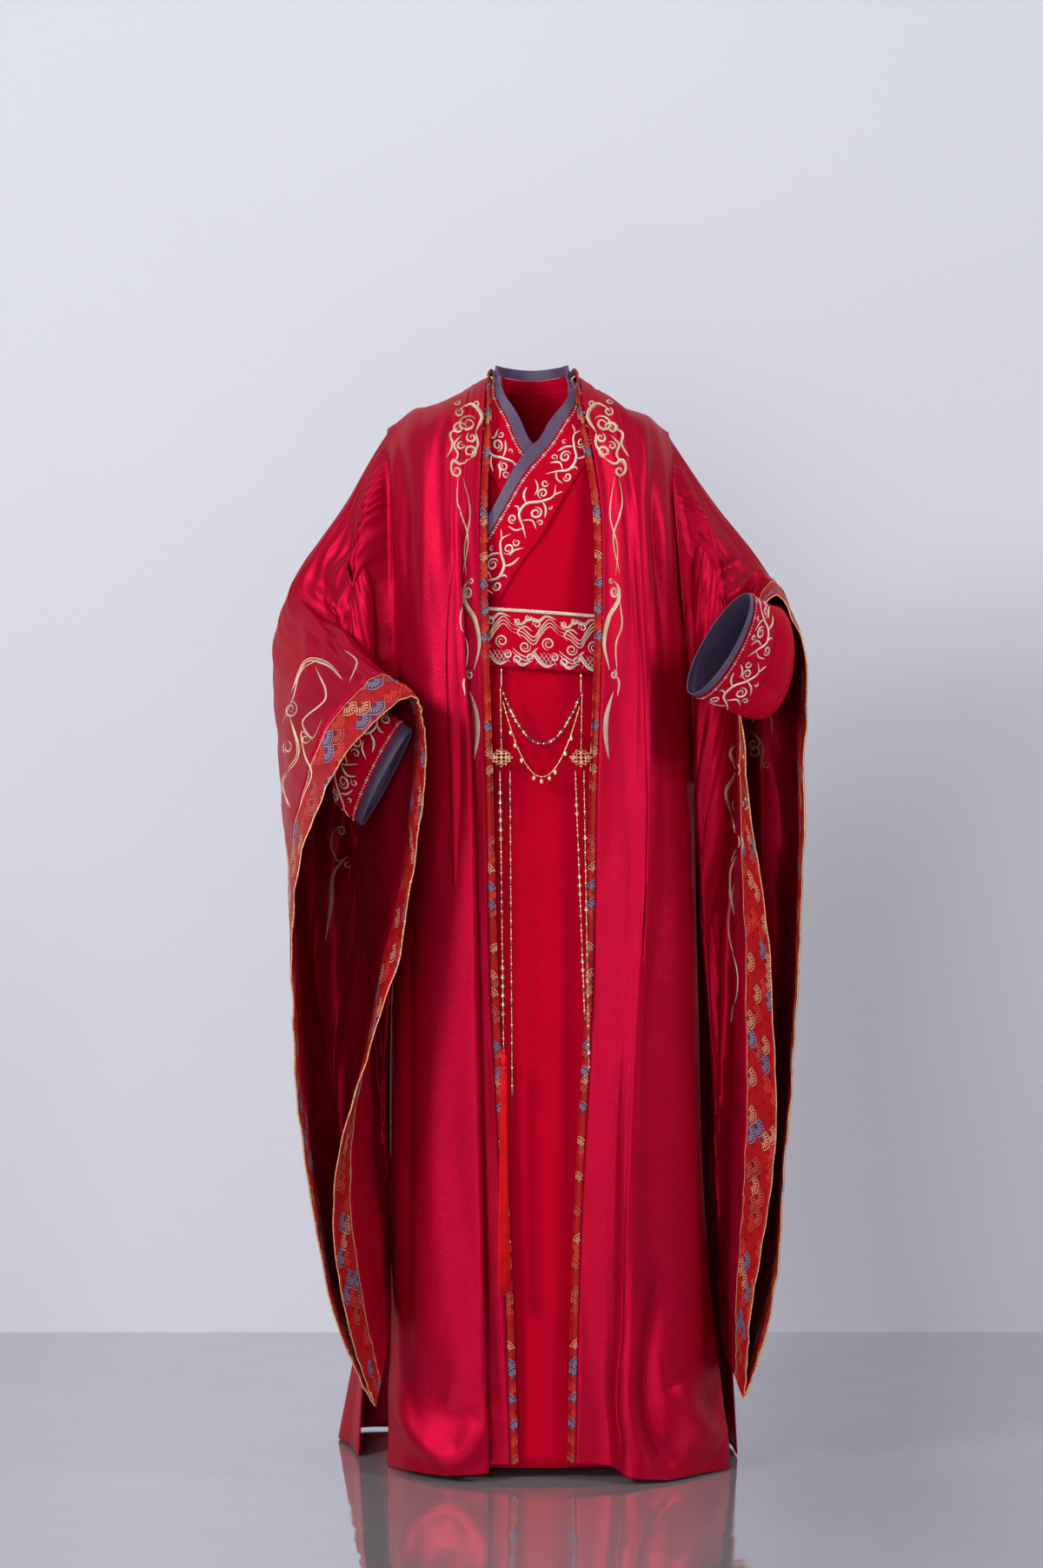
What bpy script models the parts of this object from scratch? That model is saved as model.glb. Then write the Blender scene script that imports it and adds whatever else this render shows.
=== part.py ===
"""A wedding hanfu, worn: a satin outer robe with wide sleeves over a cross-collar robe,
with its belt and its waist chains.

Lengths in the tables are millimetres.  +X is the viewer's right, -Y the front, +Z up, and the
origin is the middle of the neck at the height of the shoulder points, where the wearer holds
the garment.  "out" is the distance sideways from the middle, on either side.
"""
import math

import bmesh
import bpy
import numpy as np
from mathutils import Vector

MM = 0.001
SATIN = 2.0             # walls of the outer robe
WOOL = 2.0              # walls of the inner robe
BROCADE = 2.4           # bands and borders, folded double
SEAM = 0.3              # gap between two pieces sewn together

BAND_WIDE = 11.0        # brocade band along the front edges and the neck
BORDER_WIDE = 58.0      # brocade border round each sleeve mouth
COLLAR_WIDE = 60.0      # embroidered collar of the inner robe
EDGE_WIDE = 15.0        # purple edge inside it
CUFF_WIDE = 66.0        # embroidered cuff of the inner sleeve
CUFF_EDGE = 13.0        # purple edge that shows past it
LINING = 1.4            # purple lining of the cuffs
LINING_GAP = 0.8
BELT_HIGH = 77.0
BELT_TILT = -0.069      # the belt drops this much for each unit to the viewer's right
BELT_TOP = -321.0
ROPE_THICK = 6.0


# ---------------------------------------------------------------- smooth surfaces from tables
def smooth(points, at):
    """Points on the smooth curve through points; at counts along them, 0 at the first."""
    points = np.asarray(points, float)
    step = np.diff(points, axis=0)
    gap = np.linalg.norm(step, axis=-1, keepdims=True) + 1e-6
    rate = step / gap
    middle = (rate[:-1] * gap[1:] + rate[1:] * gap[:-1]) / (gap[:-1] + gap[1:])
    slope = np.concatenate([rate[:1], middle, rate[-1:]])
    i = np.clip(np.floor(at).astype(int), 0, len(points) - 2)
    t = (at - i).reshape((-1,) + (1,) * (points.ndim - 1))
    bend = slope[i] * t * (1 - t) ** 2 - slope[i + 1] * t ** 2 * (1 - t)
    return points[i] * (1 + 2 * t) * (1 - t) ** 2 + points[i + 1] * t ** 2 * (3 - 2 * t) + gap[i] * bend


def surface(sections, across, along):
    """Grid of points [along][across] through sections, each a row of points across."""
    rows = smooth(np.swapaxes(np.asarray(sections, float), 0, 1), across)
    return smooth(np.swapaxes(rows, 0, 1), along)


def ring_surface(rings, around, along):
    """The same for closed rings, whose last point joins the first."""
    rings = np.asarray(rings, float)
    wrapped = np.concatenate([rings[:, -2:], rings, rings[:, :3]], axis=1)
    return surface(wrapped, around + 2, along)


def normals(grid, closed=False):
    """Unit normals of a grid of points, along cross across."""
    if closed:
        across = np.roll(grid, -1, axis=1) - np.roll(grid, 1, axis=1)
    else:
        across = np.gradient(grid, axis=1)
    n = np.cross(np.gradient(grid, axis=0), across)
    return n / (np.linalg.norm(n, axis=-1, keepdims=True) + 1e-9)


# ---------------------------------------------------------------- solids
def material(name, colour, roughness, metallic=0.0):
    made = bpy.data.materials.get(name)
    if made is None:
        made = bpy.data.materials.new(name)
        made.use_nodes = True
        shader = made.node_tree.nodes["Principled BSDF"]
        shader.inputs["Base Color"].default_value = (*colour, 1.0)
        shader.inputs["Roughness"].default_value = roughness
        shader.inputs["Metallic"].default_value = metallic
        made.diffuse_color = (*colour, 1.0)
    return made


def add_object(name, bm, finish):
    mesh = bpy.data.meshes.new(name)
    bm.to_mesh(mesh)
    bm.free()
    mesh.materials.append(finish)
    mesh.shade_smooth()
    mesh.set_sharp_from_angle(angle=math.radians(50))
    made = bpy.data.objects.new(name, mesh)
    bpy.context.collection.objects.link(made)
    return made


def cloth(name, grid, finish, thick, closed=False, facing=1, away=None):
    """A wall of cloth: grid is its outer face, and the thickness goes inwards, against away."""
    if away is None:
        away = normals(grid, closed) * facing
    outer = grid * MM
    inner = outer - away * thick * MM
    along, across = grid.shape[:2]
    bm = bmesh.new()
    rows = [[[bm.verts.new(p) for p in row] for row in face] for face in (outer, inner)]
    last = across if closed else across - 1
    for i in range(along - 1):
        for j in range(last):
            k = (j + 1) % across
            for side, turn in ((0, facing), (1, -facing)):
                r = rows[side]
                quad = (r[i][j], r[i + 1][j], r[i + 1][k], r[i][k])
                bm.faces.new(quad if turn > 0 else quad[::-1])
    rims = [[(i, j) for j in range(across)] for i in (0, along - 1)]
    if not closed:
        rims += [[(i, j) for i in range(along)] for j in (0, across - 1)]
    for rim in rims:
        pairs = list(zip(rim, rim[1:] + (rim[:1] if closed else [])))
        for (i, j), (m, n) in pairs if closed else pairs[:len(rim) - 1]:
            bm.faces.new((rows[0][i][j], rows[0][m][n], rows[1][m][n], rows[1][i][j]))
    bmesh.ops.recalc_face_normals(bm, faces=bm.faces)
    bmesh.ops.triangulate(bm, faces=bm.faces, quad_method="SHORT_EDGE")
    if bm.calc_volume(signed=True) < 0:
        bmesh.ops.reverse_faces(bm, faces=bm.faces)
    return add_object(name, bm, finish)


def counted(first, last, steps):
    """Evenly counted places along a table's rows, steps between each two rows."""
    return np.linspace(first, last, int(round((last - first) * steps)) + 1)


# ---------------------------------------------------------------- outer robe, body
# The body is cut in two halves, each running from the front hem over the shoulder to the back
# hem, with a seam down the middle of the back.  Each row is one line across the front:
# heights at the edge, the middle and the side; the front edge; the leading fold and how far the
# cloth is tucked behind it; the corner where the panel turns to the side; and its side edge.
FRONT_COLUMNS = ("z_edge", "z_mid", "z_side", "edge", "edge_y", "fold", "fold_y", "tuck",
                 "corner", "corner_y", "side", "side_y")
FRONT_LEFT = (
    (-1516, -1528, -1536, 30, -100, 63, -120, 14, 178, -66, 204, -20),
    (-1200, -1200, -1200, 41, -112, 72, -134, 18, 184, -70, 198, -14),
    (-850, -850, -850, 58, -121, 80, -146, 21, 184, -70, 195, -8),
    (-556, -556, -556, 65, -128, 85, -151, 21, 182, -68, 192, -3),
    (-330, -330, -330, 72, -130, 97, -148, 12, 178, -78, 190, -44),
    (-160, -162, -168, 74, -123, 103, -132, 2, 182, -86, 196, -52),
    (-14, -46, -98, 66, -76, 98, -84, 0, 172, -66, 204, -36),
    (22, -17, -50, 62, -14, 98, -4, 0, 172, 8, 206, 10))
FRONT_RIGHT = (
    (-1514, -1532, -1535, 61, -100, 128, -128, 6, 232, -84, 280, -34),
    (-1200, -1200, -1200, 68, -112, 136, -136, 4, 226, -74, 248, -16),
    (-850, -850, -850, 85, -121, 150, -142, 4, 216, -74, 240, -10),
    (-556, -556, -556, 91, -128, 160, -145, 5, 212, -72, 234, -3),
    (-330, -330, -330, 98, -130, 158, -142, 4, 200, -82, 216, -46),
    (-160, -162, -168, 95, -123, 146, -128, 1, 188, -88, 202, -52),
    (-14, -46, -98, 70, -78, 120, -86, 0, 172, -66, 198, -36),
    (23, -26, -54, 64, -14, 100, -4, 0, 164, 8, 195, 10))
# The back: the inner edge, first round the neck and then down the middle, and the side edge.
BACK_COLUMNS = ("out", "y", "z", "side", "side_y", "side_z", "flare")
BACK_LEFT = (
    (50, 50, 24, 204, 58, -104, 0),
    (0, 80, -8, 196, 72, -176, 0),
    (0, 112, -300, 190, 56, -335, 0),
    (0, 124, -540, 192, 3, -556, 0),
    (0, 140, -850, 208, 18, -850, 6),
    (0, 165, -1200, 230, 32, -1200, 30),
    (0, 215, -1533, 250, 44, -1533, 92))
BACK_RIGHT = (
    (50, 50, 22, 198, 58, -104, 0),
    (0, 80, -8, 202, 72, -176, 0),
    (0, 112, -300, 216, 58, -335, 0),
    (0, 124, -540, 234, 3, -556, 0),
    (0, 140, -850, 254, 30, -850, 4),
    (0, 165, -1200, 276, 44, -1200, 14),
    (0, 215, -1533, 296, 48, -1533, 34))
ACROSS_POINTS = 7       # points across every row of the body
UNDERARM_FRONT, SHOULDER, UNDERARM_BACK = 3, 7, 11      # rows of the whole body


def front_row(row):
    """Seven points across the front, from the edge to the side."""
    r = dict(zip(FRONT_COLUMNS, row))
    tucked = min(1.0, r["tuck"] / 12)
    behind = r["fold"] + r["tuck"]
    near, far = r["edge"] + (r["fold"] - r["edge"]) * 0.45, r["edge"] + (r["fold"] - r["edge"]) * 0.8
    middle_y = (r["edge_y"] + r["fold_y"]) / 2
    z_fold = r["z_edge"] + (r["z_mid"] - r["z_edge"]) * 0.5
    z_near, z_far = r["z_edge"] + (z_fold - r["z_edge"]) * 0.4, r["z_edge"] + (z_fold - r["z_edge"]) * 0.8
    z_corner = r["z_mid"] * 0.75 + r["z_side"] * 0.25
    main = (r["fold"] + r["corner"]) / 2
    return [
        (r["edge"], r["edge_y"], r["z_edge"]),
        (near + (behind - near) * tucked, middle_y + (r["edge_y"] + 2 - middle_y) * tucked, z_near),
        (far + (behind + 5 - far) * tucked, r["fold_y"] + (middle_y - r["fold_y"]) * tucked, z_far),
        (r["fold"], r["fold_y"], z_fold),
        (main, (r["fold_y"] + r["corner_y"]) / 2 - 16, r["z_mid"]),
        (r["corner"], r["corner_y"], z_corner),
        (r["side"], r["side_y"], r["z_side"])]


def back_row(row):
    """Seven points across the back, on a quarter of an ellipse, flared towards its corner."""
    r = dict(zip(BACK_COLUMNS, row))
    points = []
    for i in range(ACROSS_POINTS):
        turn = math.pi / 2 * i / (ACROSS_POINTS - 1)
        wide, deep = math.sin(turn), math.cos(turn)
        flare = r["flare"] * math.sin(2 * turn) ** 2
        z = r["z"] + (r["side_z"] - r["z"]) * wide ** 1.3
        points.append((r["out"] + (r["side"] - r["out"]) * wide + flare,
                       r["side_y"] + (r["y"] - r["side_y"]) * deep + flare * 0.6, z))
    return points


def body_sections(front, back, side):
    """All rows of one half of the body; side is -1 at the viewer's left and 1 at the right."""
    rows = [front_row(r) for r in front] + [back_row(r) for r in back]
    return np.array(rows) * (side, 1, 1)


BODY = {-1: body_sections(FRONT_LEFT, BACK_LEFT, -1), 1: body_sections(FRONT_RIGHT, BACK_RIGHT, 1)}
BODY_ROWS = np.concatenate([counted(0, 3, 2)[:-1], counted(3, 11, 3)[:-1], counted(11, 14, 2)])
BODY_COLUMNS = np.array([0, 1, 2, 3, 3.5, 4, 4.5, 5, 6])


def body_grid(side):
    grid = surface(BODY[side], BODY_COLUMNS, BODY_ROWS)
    behind = BODY_ROWS > SHOULDER + 1       # neither half passes the seam down the back
    grid[behind, :, 0] = side * np.maximum(side * grid[behind, :, 0], SEAM / 2)
    grid[BODY_ROWS >= SHOULDER + 2, 0, 0] = side * SEAM / 2
    return grid


def make_body():
    satin = material("satin", (0.42, 0.012, 0.03), 0.35)
    brocade = material("brocade", (0.62, 0.10, 0.05), 0.6)
    for side, name in ((-1, "left"), (1, "right")):
        grid = body_grid(side)
        cloth(f"outer_body_{name}", grid, satin, SATIN, facing=side)
        # the band carries the front edge on, and stands up round the neck
        rows = BODY_ROWS <= SHOULDER + 1.9
        edge = grid[rows, 0]
        inwards = edge - grid[rows, 1]
        inwards /= np.linalg.norm(inwards, axis=-1, keepdims=True)
        lift = np.clip((BODY_ROWS[rows] - 5.4) / 1.2, 0, 1)[:, None]
        clear = np.clip(BODY_ROWS[rows] - 4.6, 0, 1)[:, None]
        inwards = inwards * (1 - lift) + np.array((-side * 0.03, -0.1, 0.99)) * lift
        inwards[:, 0] = np.where(edge[:, 0] * side > 20, inwards[:, 0], 0)
        inwards /= np.linalg.norm(inwards, axis=-1, keepdims=True)
        own = edge - grid[rows, 1]
        own /= np.linalg.norm(own, axis=-1, keepdims=True)
        start = edge + own * (SEAM + clear * BROCADE)
        band = np.stack([start + inwards * BAND_WIDE * t for t in (1, 0.5, 0)], axis=1)
        cloth(f"outer_band_{name}", band, brocade, BROCADE, facing=side)


# ---------------------------------------------------------------- outer robe, sleeves
# Each ring hangs as a long loop from the arm.  Its chord runs from the top, over the arm, to
# the foot of the sleeve; the back layer and the front layer stand off it by the distances given
# at the heights below, each in its own direction in plan.
LOOP_HEIGHTS = (0.05, 0.2, 0.45, 0.7, 0.92)
RING_COLUMNS = ("top", "foot", "back_way", "back", "front_way", "front")
SLEEVE_LEFT = (
    ((-285, 20, -180), (-214, -10, -900), (-0.45, 0.89), (40, 66, 76, 70, 40),
     (0.45, -0.89), (48, 72, 76, 66, 34)),
    ((-318, 26, -224), (-214, -24, -1120), (-0.75, 0.66), (42, 66, 86, 84, 48),
     (0.55, -0.83), (50, 60, 46, 34, 18)),
    ((-338, 26, -258), (-206, -34, -1296), (-0.92, 0.39), (36, 58, 64, 58, 31),
     (0.80, -0.60), (66, 64, 50, 34, 14)),
    ((-272, -104, -350), (-206, -80, -1345), (-0.95, -0.30), (50, 90, 93, 78, 44),
     (0.85, -0.30), (62, 58, 24, 2, 4)),
    ((-159, -235, -440), (-217, -170, -1418), (-0.85, -0.52), (80, 160, 163, 120, 50),
     (0.85, 0.52), (22, 18, -30, -82, -34)))
SLEEVE_RIGHT = (
    ((268, 20, -158), (262, 20, -900), (0.45, 0.89), (40, 66, 70, 62, 34),
     (-0.40, -0.92), (52, 72, 70, 60, 32)),
    ((308, 26, -208), (272, 20, -1180), (0.75, 0.66), (42, 64, 74, 66, 38),
     (-0.40, -0.92), (52, 66, 52, 42, 24)),
    ((337, 28, -250), (282, 10, -1387), (0.92, 0.39), (38, 56, 66, 64, 38),
     (-0.45, -0.89), (66, 68, 50, 42, 22)),
    ((344, -62, -270), (290, -52, -1405), (0.97, 0.10), (34, 48, 58, 54, 34),
     (-0.75, -0.66), (56, 56, 28, 14, 12)),
    ((340, -145, -294), (298, -110, -1421), (0.97, -0.24), (36, 50, 54, 46, 28),
     (-0.97, 0.24), (44, 36, -8, -26, 0)))
LOOP_STEPS = 2          # facets between two of a ring's twelve points
SLEEVE_ALONG = 2        # facets between two rings


def loop(row):
    """Twelve points round one ring: the top, down the back layer, the foot, up the front."""
    r = dict(zip(RING_COLUMNS, row))
    top, foot = np.array(r["top"], float), np.array(r["foot"], float)
    chord = [top + (foot - top) * h for h in LOOP_HEIGHTS]
    back = [c + np.array((*r["back_way"], 0)) * d for c, d in zip(chord, r["back"])]
    front = [c + np.array((*r["front_way"], 0)) * d for c, d in zip(chord, r["front"])]
    return np.array([top] + back + [foot] + front[::-1])


def armhole(side, steps):
    """The body's armhole edge as a ring: from the shoulder down the back and up the front."""
    back = surface(BODY[side], np.array([6.0]), counted(SHOULDER, UNDERARM_BACK, steps))
    front = surface(BODY[side], np.array([6.0]), counted(UNDERARM_FRONT, SHOULDER, steps))
    under = (back[-1] + front[0]) / 2
    return np.concatenate([back[:-1], [under], front[1:-1]])[:, 0]


def sleeve_grid(side, table, steps, along):
    """Rings of the outer sleeve from the armhole to the mouth."""
    edge = armhole(side, 3)
    over = np.cos(np.linspace(0, 2 * math.pi, len(edge), endpoint=False))[:, None]
    way = np.array((side * 0.98, 0, -0.2)) + np.array((-side * 0.42, 0, -0.62)) * np.clip(over, 0, 1)
    way /= np.linalg.norm(way, axis=-1, keepdims=True)
    rings = [edge[::2], (edge + way * 16)[::2]] + [loop(r) for r in table]
    around = np.arange(12 * steps) / steps
    grid = ring_surface(rings, around, along)
    if along[0] == 0:
        grid[0] = edge + way * SEAM * (1 + 2.5 * np.clip(-over, 0, 1))      # wider where it folds
    return grid


def make_sleeves():
    satin = material("satin", (0.42, 0.012, 0.03), 0.35)
    brocade = material("brocade", (0.62, 0.10, 0.05), 0.6)
    for side, name, table in ((-1, "left", SLEEVE_LEFT), (1, "right", SLEEVE_RIGHT)):
        last = len(table) + 1
        grid = sleeve_grid(side, table, LOOP_STEPS, np.array([last - 1, last - 0.01, last]))
        reach = np.linalg.norm(grid[2] - grid[0], axis=-1).mean()
        seam = last - BORDER_WIDE / reach
        inside = np.concatenate([[0, 1], counted(1, last - 1, SLEEVE_ALONG)[1:], [last - 0.6]])
        inside = inside[inside < seam - 0.1]
        along = np.concatenate([inside, [seam, seam + SEAM / reach, (seam + last) / 2, last]])
        grid = sleeve_grid(side, table, LOOP_STEPS, along)
        away = normals(grid, closed=True) * side
        cut = len(inside) + 1
        away[cut] = away[cut - 1]
        cloth(f"outer_sleeve_{name}", grid[:cut], satin, SATIN, True, side, away[:cut])
        cloth(f"sleeve_border_{name}", grid[cut:], brocade, BROCADE, True, side, away[cut:])


# ---------------------------------------------------------------- inner robe, body
# Level sections of a general figure under the robe: half width, depth in front and behind.
FIGURE = (      # z, wide, front, back
    (46, 47, 43, 50), (20, 52, 48, 56), (0, 74, 60, 63), (-20, 106, 76, 71), (-40, 144, 88, 78),
    (-64, 180, 97, 83), (-120, 180, 110, 90), (-200, 170, 115, 95), (-320, 157, 110, 96),
    (-400, 160, 108, 99), (-600, 166, 105, 108), (-900, 170, 101, 118), (-1200, 174, 97, 128),
    (-1560, 180, 91, 140))
ROUND = 2.3             # how square each section is: 2 would be an ellipse


def figure(turn, z, out=0.0):
    """Points on the figure, turn degrees round from the viewer's right by way of the front."""
    table = np.array(FIGURE, float)[::-1]
    wide, front, back = (np.interp(z, table[:, 0], table[:, k]) + out for k in (1, 2, 3))
    c, s = np.cos(np.radians(turn)), -np.sin(np.radians(turn))
    x = wide * np.sign(c) * np.abs(c) ** (2 / ROUND)
    y = np.where(s > 0, back, front) * np.sign(s) * np.abs(s) ** (2 / ROUND)
    return np.stack([x, y, z + 0 * x], axis=-1)


# Rows across each lap, from its neck edge or front end to its side.
LAP_COLUMNS = ("from_turn", "from_z", "to_turn", "to_z", "depth")
OVER_LAP = (
    (42, 8, 2, -66, 0), (78, -36, 14, -120, 0), (90, -82, 14, -180, 0), (99, -138, 12, -212, 0),
    (110, -196, 2, -240, 0),
    (136, -304, 1, -316, 0), (150, -420, 1, -410, 0), (152, -650, 1, -650, 0),
    (152, -900, 1, -900, 0), (152, -1220, 1, -1220, 0), (152, -1522, 1, -1522, 0))
UNDER_LAP = (
    (138, 8, 178, -66, 0), (102, -36, 166, -120, 4), (90, -88, 166, -180, 10),
    (68, -196, 177, -240, 10), (48, -304, 176, -316, 10), (46, -420, 176, -410, 10),
    (46, -650, 176, -650, 10), (46, -1100, 176, -1100, 10), (46, -1516, 176, -1516, 10))
LAP_STEPS = 10
BACK_LEVELS = ((12, 4), (-8, 4), (-34, 4), (-72, 4), (-120, 14), (-180, 14), (-240, 2), (-320, 1),
               (-600, 1), (-900, 1), (-1200, 1), (-1522, 1))       # z, turn past the side


def lap_grid(rows, facing):
    """Rows of points across a lap, on the figure."""
    table = np.array(rows, float)
    across = np.linspace(0, 1, LAP_STEPS + 1)
    turn = table[:, :1] + (table[:, 2:3] - table[:, :1]) * across
    z = table[:, 1:2] + (table[:, 3:4] - table[:, 1:2]) * across
    grid = figure(turn, z)
    return grid - normals(grid) * facing * table[:, 4:5, None]


def make_inner_body():
    crimson = material("crimson", (0.40, 0.0, 0.014), 0.8)
    cloth("inner_front_over", lap_grid(OVER_LAP, 1), crimson, WOOL, facing=1)
    cloth("inner_front_under", lap_grid(UNDER_LAP, -1), crimson, WOOL, facing=-1)
    back = []
    for z, past in BACK_LEVELS:
        back.append(figure(np.linspace(-past, past - 180, 14), z * np.ones(14)))
    cloth("inner_back", np.array(back), crimson, WOOL, facing=1)


# ---------------------------------------------------------------- inner robe, collar
# The collar runs from the end of the over lap, round the neck, to the end of the under lap.
# Each row gives its neck edge, its lower edge and how far it stands out from the figure.
COLLAR_COLUMNS = ("turn", "z", "low_turn", "low_z", "out")
COLLAR = (
    (129, -262, 104, -302, 4.4), (110, -194, 91, -234, 4.4), (89, -80, 71, -120, 4.4),
    (79, -38, 60, -78, 4.4), (43, 8, 49, -48, 4.4), (0, 42, 0, -14, 4.4), (-45, 44, -45, -26, 4.4),
    (-90, 42, -90, -32, 4.4), (-135, 44, -135, -26, 4.4), (-180, 42, -180, -14, 4.4),
    (-221, 18, -231, -44, 3.6), (-256, -20, -242, -66, 0.0), (-271, -83, -254, -124, -4.8),
    (-288, -180, -269, -221, -4.8))
COLLAR_STEPS = 3


def collar_grid(widths):
    """Grid of the collar at the given distances from its neck edge."""
    table = smooth(np.array(COLLAR, float), counted(0, len(COLLAR) - 1, COLLAR_STEPS))
    share = np.array(widths) / (EDGE_WIDE + COLLAR_WIDE)
    turn = table[:, :1] + (table[:, 2:3] - table[:, :1]) * share
    z = table[:, 1:2] + (table[:, 3:4] - table[:, 1:2]) * share
    grid = figure(turn, z)
    away = -normals(grid)
    away[:, 2] = away[:, 1]         # both sides of the seam face alike
    return grid + away * table[:, 4:5, None], away


def make_collar():
    crimson = material("crimson", (0.40, 0.0, 0.014), 0.8)
    purple = material("purple", (0.07, 0.04, 0.09), 0.5)
    whole = EDGE_WIDE + COLLAR_WIDE
    grid, away = collar_grid([0, EDGE_WIDE, EDGE_WIDE + SEAM, whole * 0.6, whole])
    cloth("collar_edge", grid[:, :2], purple, WOOL, facing=-1, away=away[:, :2])
    cloth("collar", grid[:, 2:], crimson, WOOL, facing=-1, away=away[:, 2:])


# ---------------------------------------------------------------- inner robe, sleeves
# Each row is a ring of the sleeve: its middle, its long half, and its short half.
TUBE_COLUMNS = ("middle", "long", "short")
TUBE_LEFT = (
    ((-187, 0, -152), (0, 0, 80), 14), ((-232, 10, -212), (8, 0, 74), 30),
    ((-286, 24, -290), (14, 0, 66), 31), ((-310, 2, -362), (0, 10, 62), 31),
    ((-296, -78, -428), (-12, 22, 64), 30), ((-262, -146, -488), (8, 10, 68), 30),
    ((-240, -172, -520), (28, -8, 70), 26), ((-210, -184, -543), (34, -13, 68), 23))
TUBE_RIGHT = (
    ((187, 0, -152), (0, 0, 80), 14), ((232, 10, -208), (-8, 0, 74), 30),
    ((290, 24, -284), (-10, 0, 66), 31), ((330, 4, -342), (0, 0, 66), 31),
    ((338, -84, -368), (2, 4, 66), 31), ((322, -182, -392), (10, 0, 78), 33),
    ((257, -280, -373), (37, -24, 68), 27))
TUBE_AROUND = 12


def tube_grid(table, around, along):
    """Rings of an inner sleeve."""
    turn = np.linspace(0, 2 * math.pi, around, endpoint=False)
    middle = np.array([r[0] for r in table], float)
    way = np.gradient(middle, axis=0)
    rings = []
    for (centre, tall, short), forward in zip(table, way):
        tall = np.array(tall, float)
        flat = np.cross(forward, tall)
        flat /= np.linalg.norm(flat)
        rings.append(np.array(centre) + np.outer(np.cos(turn), tall) + np.outer(np.sin(turn), flat * short))
    rings = np.array(rings)
    return smooth(rings, along)


def make_inner_sleeves():
    crimson = material("crimson", (0.40, 0.0, 0.014), 0.8)
    purple = material("purple", (0.07, 0.04, 0.09), 0.5)
    for side, name, table in ((-1, "left", TUBE_LEFT), (1, "right", TUBE_RIGHT)):
        last = len(table) - 1
        reach = math.dist(table[last][0], table[last - 1][0])
        band = last - CUFF_WIDE / reach
        gap = SEAM / reach
        inside = counted(0, last - 1.5, 2)
        along = np.concatenate([inside[inside < band - 0.15], [band, band + gap, last - 0.5, last]])
        grid = tube_grid(table, TUBE_AROUND, along)
        away = -normals(grid, closed=True)
        cut = len(along) - 3
        away[cut] = away[cut - 1]
        cloth(f"inner_sleeve_{name}", grid[:cut], crimson, WOOL, True, -1, away[:cut])
        cloth(f"cuff_band_{name}", grid[cut:], crimson, WOOL, True, -1, away[cut:])
        # the lining lies inside the cuff, and its folded edge shows past it
        lining = grid[cut - 2:] - away[cut - 2:] * (WOOL + LINING_GAP)
        edge = lining[-1] + (grid[-1] - grid[-2]) * CUFF_EDGE / (reach * 0.5)
        lining = np.concatenate([lining, [edge]])
        cloth(f"cuff_lining_{name}", lining, purple, LINING, closed=True, facing=-1)


# ---------------------------------------------------------------- belt
BELT_OUT = 10.0
BELT_THICK = 3.0


def belt_ring(z, out, around):
    """Points round the waist, on a level that drops to the viewer's right."""
    turn = np.linspace(0, 360, around, endpoint=False)
    points = figure(turn, z * np.ones(around), out)
    points[:, 2] += points[:, 0] * BELT_TILT
    return points


def tube(name, points, thick, finish, sides=2, closed=False):
    """A round cord through points."""
    curve = bpy.data.curves.new(name, "CURVE")
    curve.dimensions = "3D"
    curve.bevel_depth = thick / 2 * MM
    curve.bevel_resolution = sides
    curve.use_fill_caps = True
    line = curve.splines.new("POLY")
    line.points.add(len(points) - 1)
    for point, place in zip(line.points, points):
        point.co = (*(np.asarray(place) * MM), 1.0)
    line.use_cyclic_u = closed
    curve.materials.append(finish)
    made = bpy.data.objects.new(name, curve)
    bpy.context.collection.objects.link(made)
    return made


def make_belt():
    crimson = material("crimson", (0.40, 0.0, 0.014), 0.8)
    cream = material("cream", (0.72, 0.58, 0.44), 0.6)
    levels = [BELT_TOP - BELT_HIGH * t for t in (0, 0.5, 1)]
    belt = np.array([belt_ring(z, BELT_OUT, 30) for z in levels])
    cloth("belt", belt, crimson, BELT_THICK, closed=True, facing=-1)
    rope = belt_ring(BELT_TOP + SEAM + ROPE_THICK / 2, BELT_OUT - 1.0, 48)
    tube("belt_rope", rope, ROPE_THICK, cream, closed=True)


# ---------------------------------------------------------------- waist chains
HOOK_X = (-43, 68)      # the two hooks, and the filigree pieces under them
CHAIN_Y = -136.0        # the chains hang just clear of the skirt
FILIGREE_Z = -522.0
FILIGREE_HALF = 16.0
FILIGREE_THICK = 2.4
# strand: x at the top and the bottom, z at the top and the bottom, its thickness; the hangers
# hold the filigree pieces under the hooks
STRANDS = {
    "hanger_left": (-44.4, -43, -424.2, -508, 2.4),
    "hanger_right": (69.4, 68, -431.6, -508, 2.4),
    "strand_left_outer": (-45, -40, -541, -926, 3.0),
    "strand_left_inner": (-31, -28, -541, -992, 3.0),
    "strand_right_inner": (60, 73, -541, -885, 3.0),
    "strand_right_outer": (72, 79, -541, -958, 3.0)}
SWAGS = {"swag_upper": (-431, -503, 3.0), "swag_lower": (-444, -549, 3.0)}
TASSEL = ((0, 2.2), (8, 4.6), (26, 5.0), (34, 4.0), (60, 5.4), (180, 7.2), (344, 9.0))
TASSEL_TOP = (-40, -927.5)


def swag_points(top, low, count):
    """A chain hung between the two hooks, sagging as a parabola."""
    t = np.linspace(0, 1, count)
    x = HOOK_X[0] + 2.2 + (HOOK_X[1] - HOOK_X[0] - 4.4) * t
    end = top + (x - x[0]) * BELT_TILT
    return np.stack([x, CHAIN_Y + 0 * x, end + (low - (end[0] + end[-1]) / 2) * 4 * t * (1 - t)], axis=-1)


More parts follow.
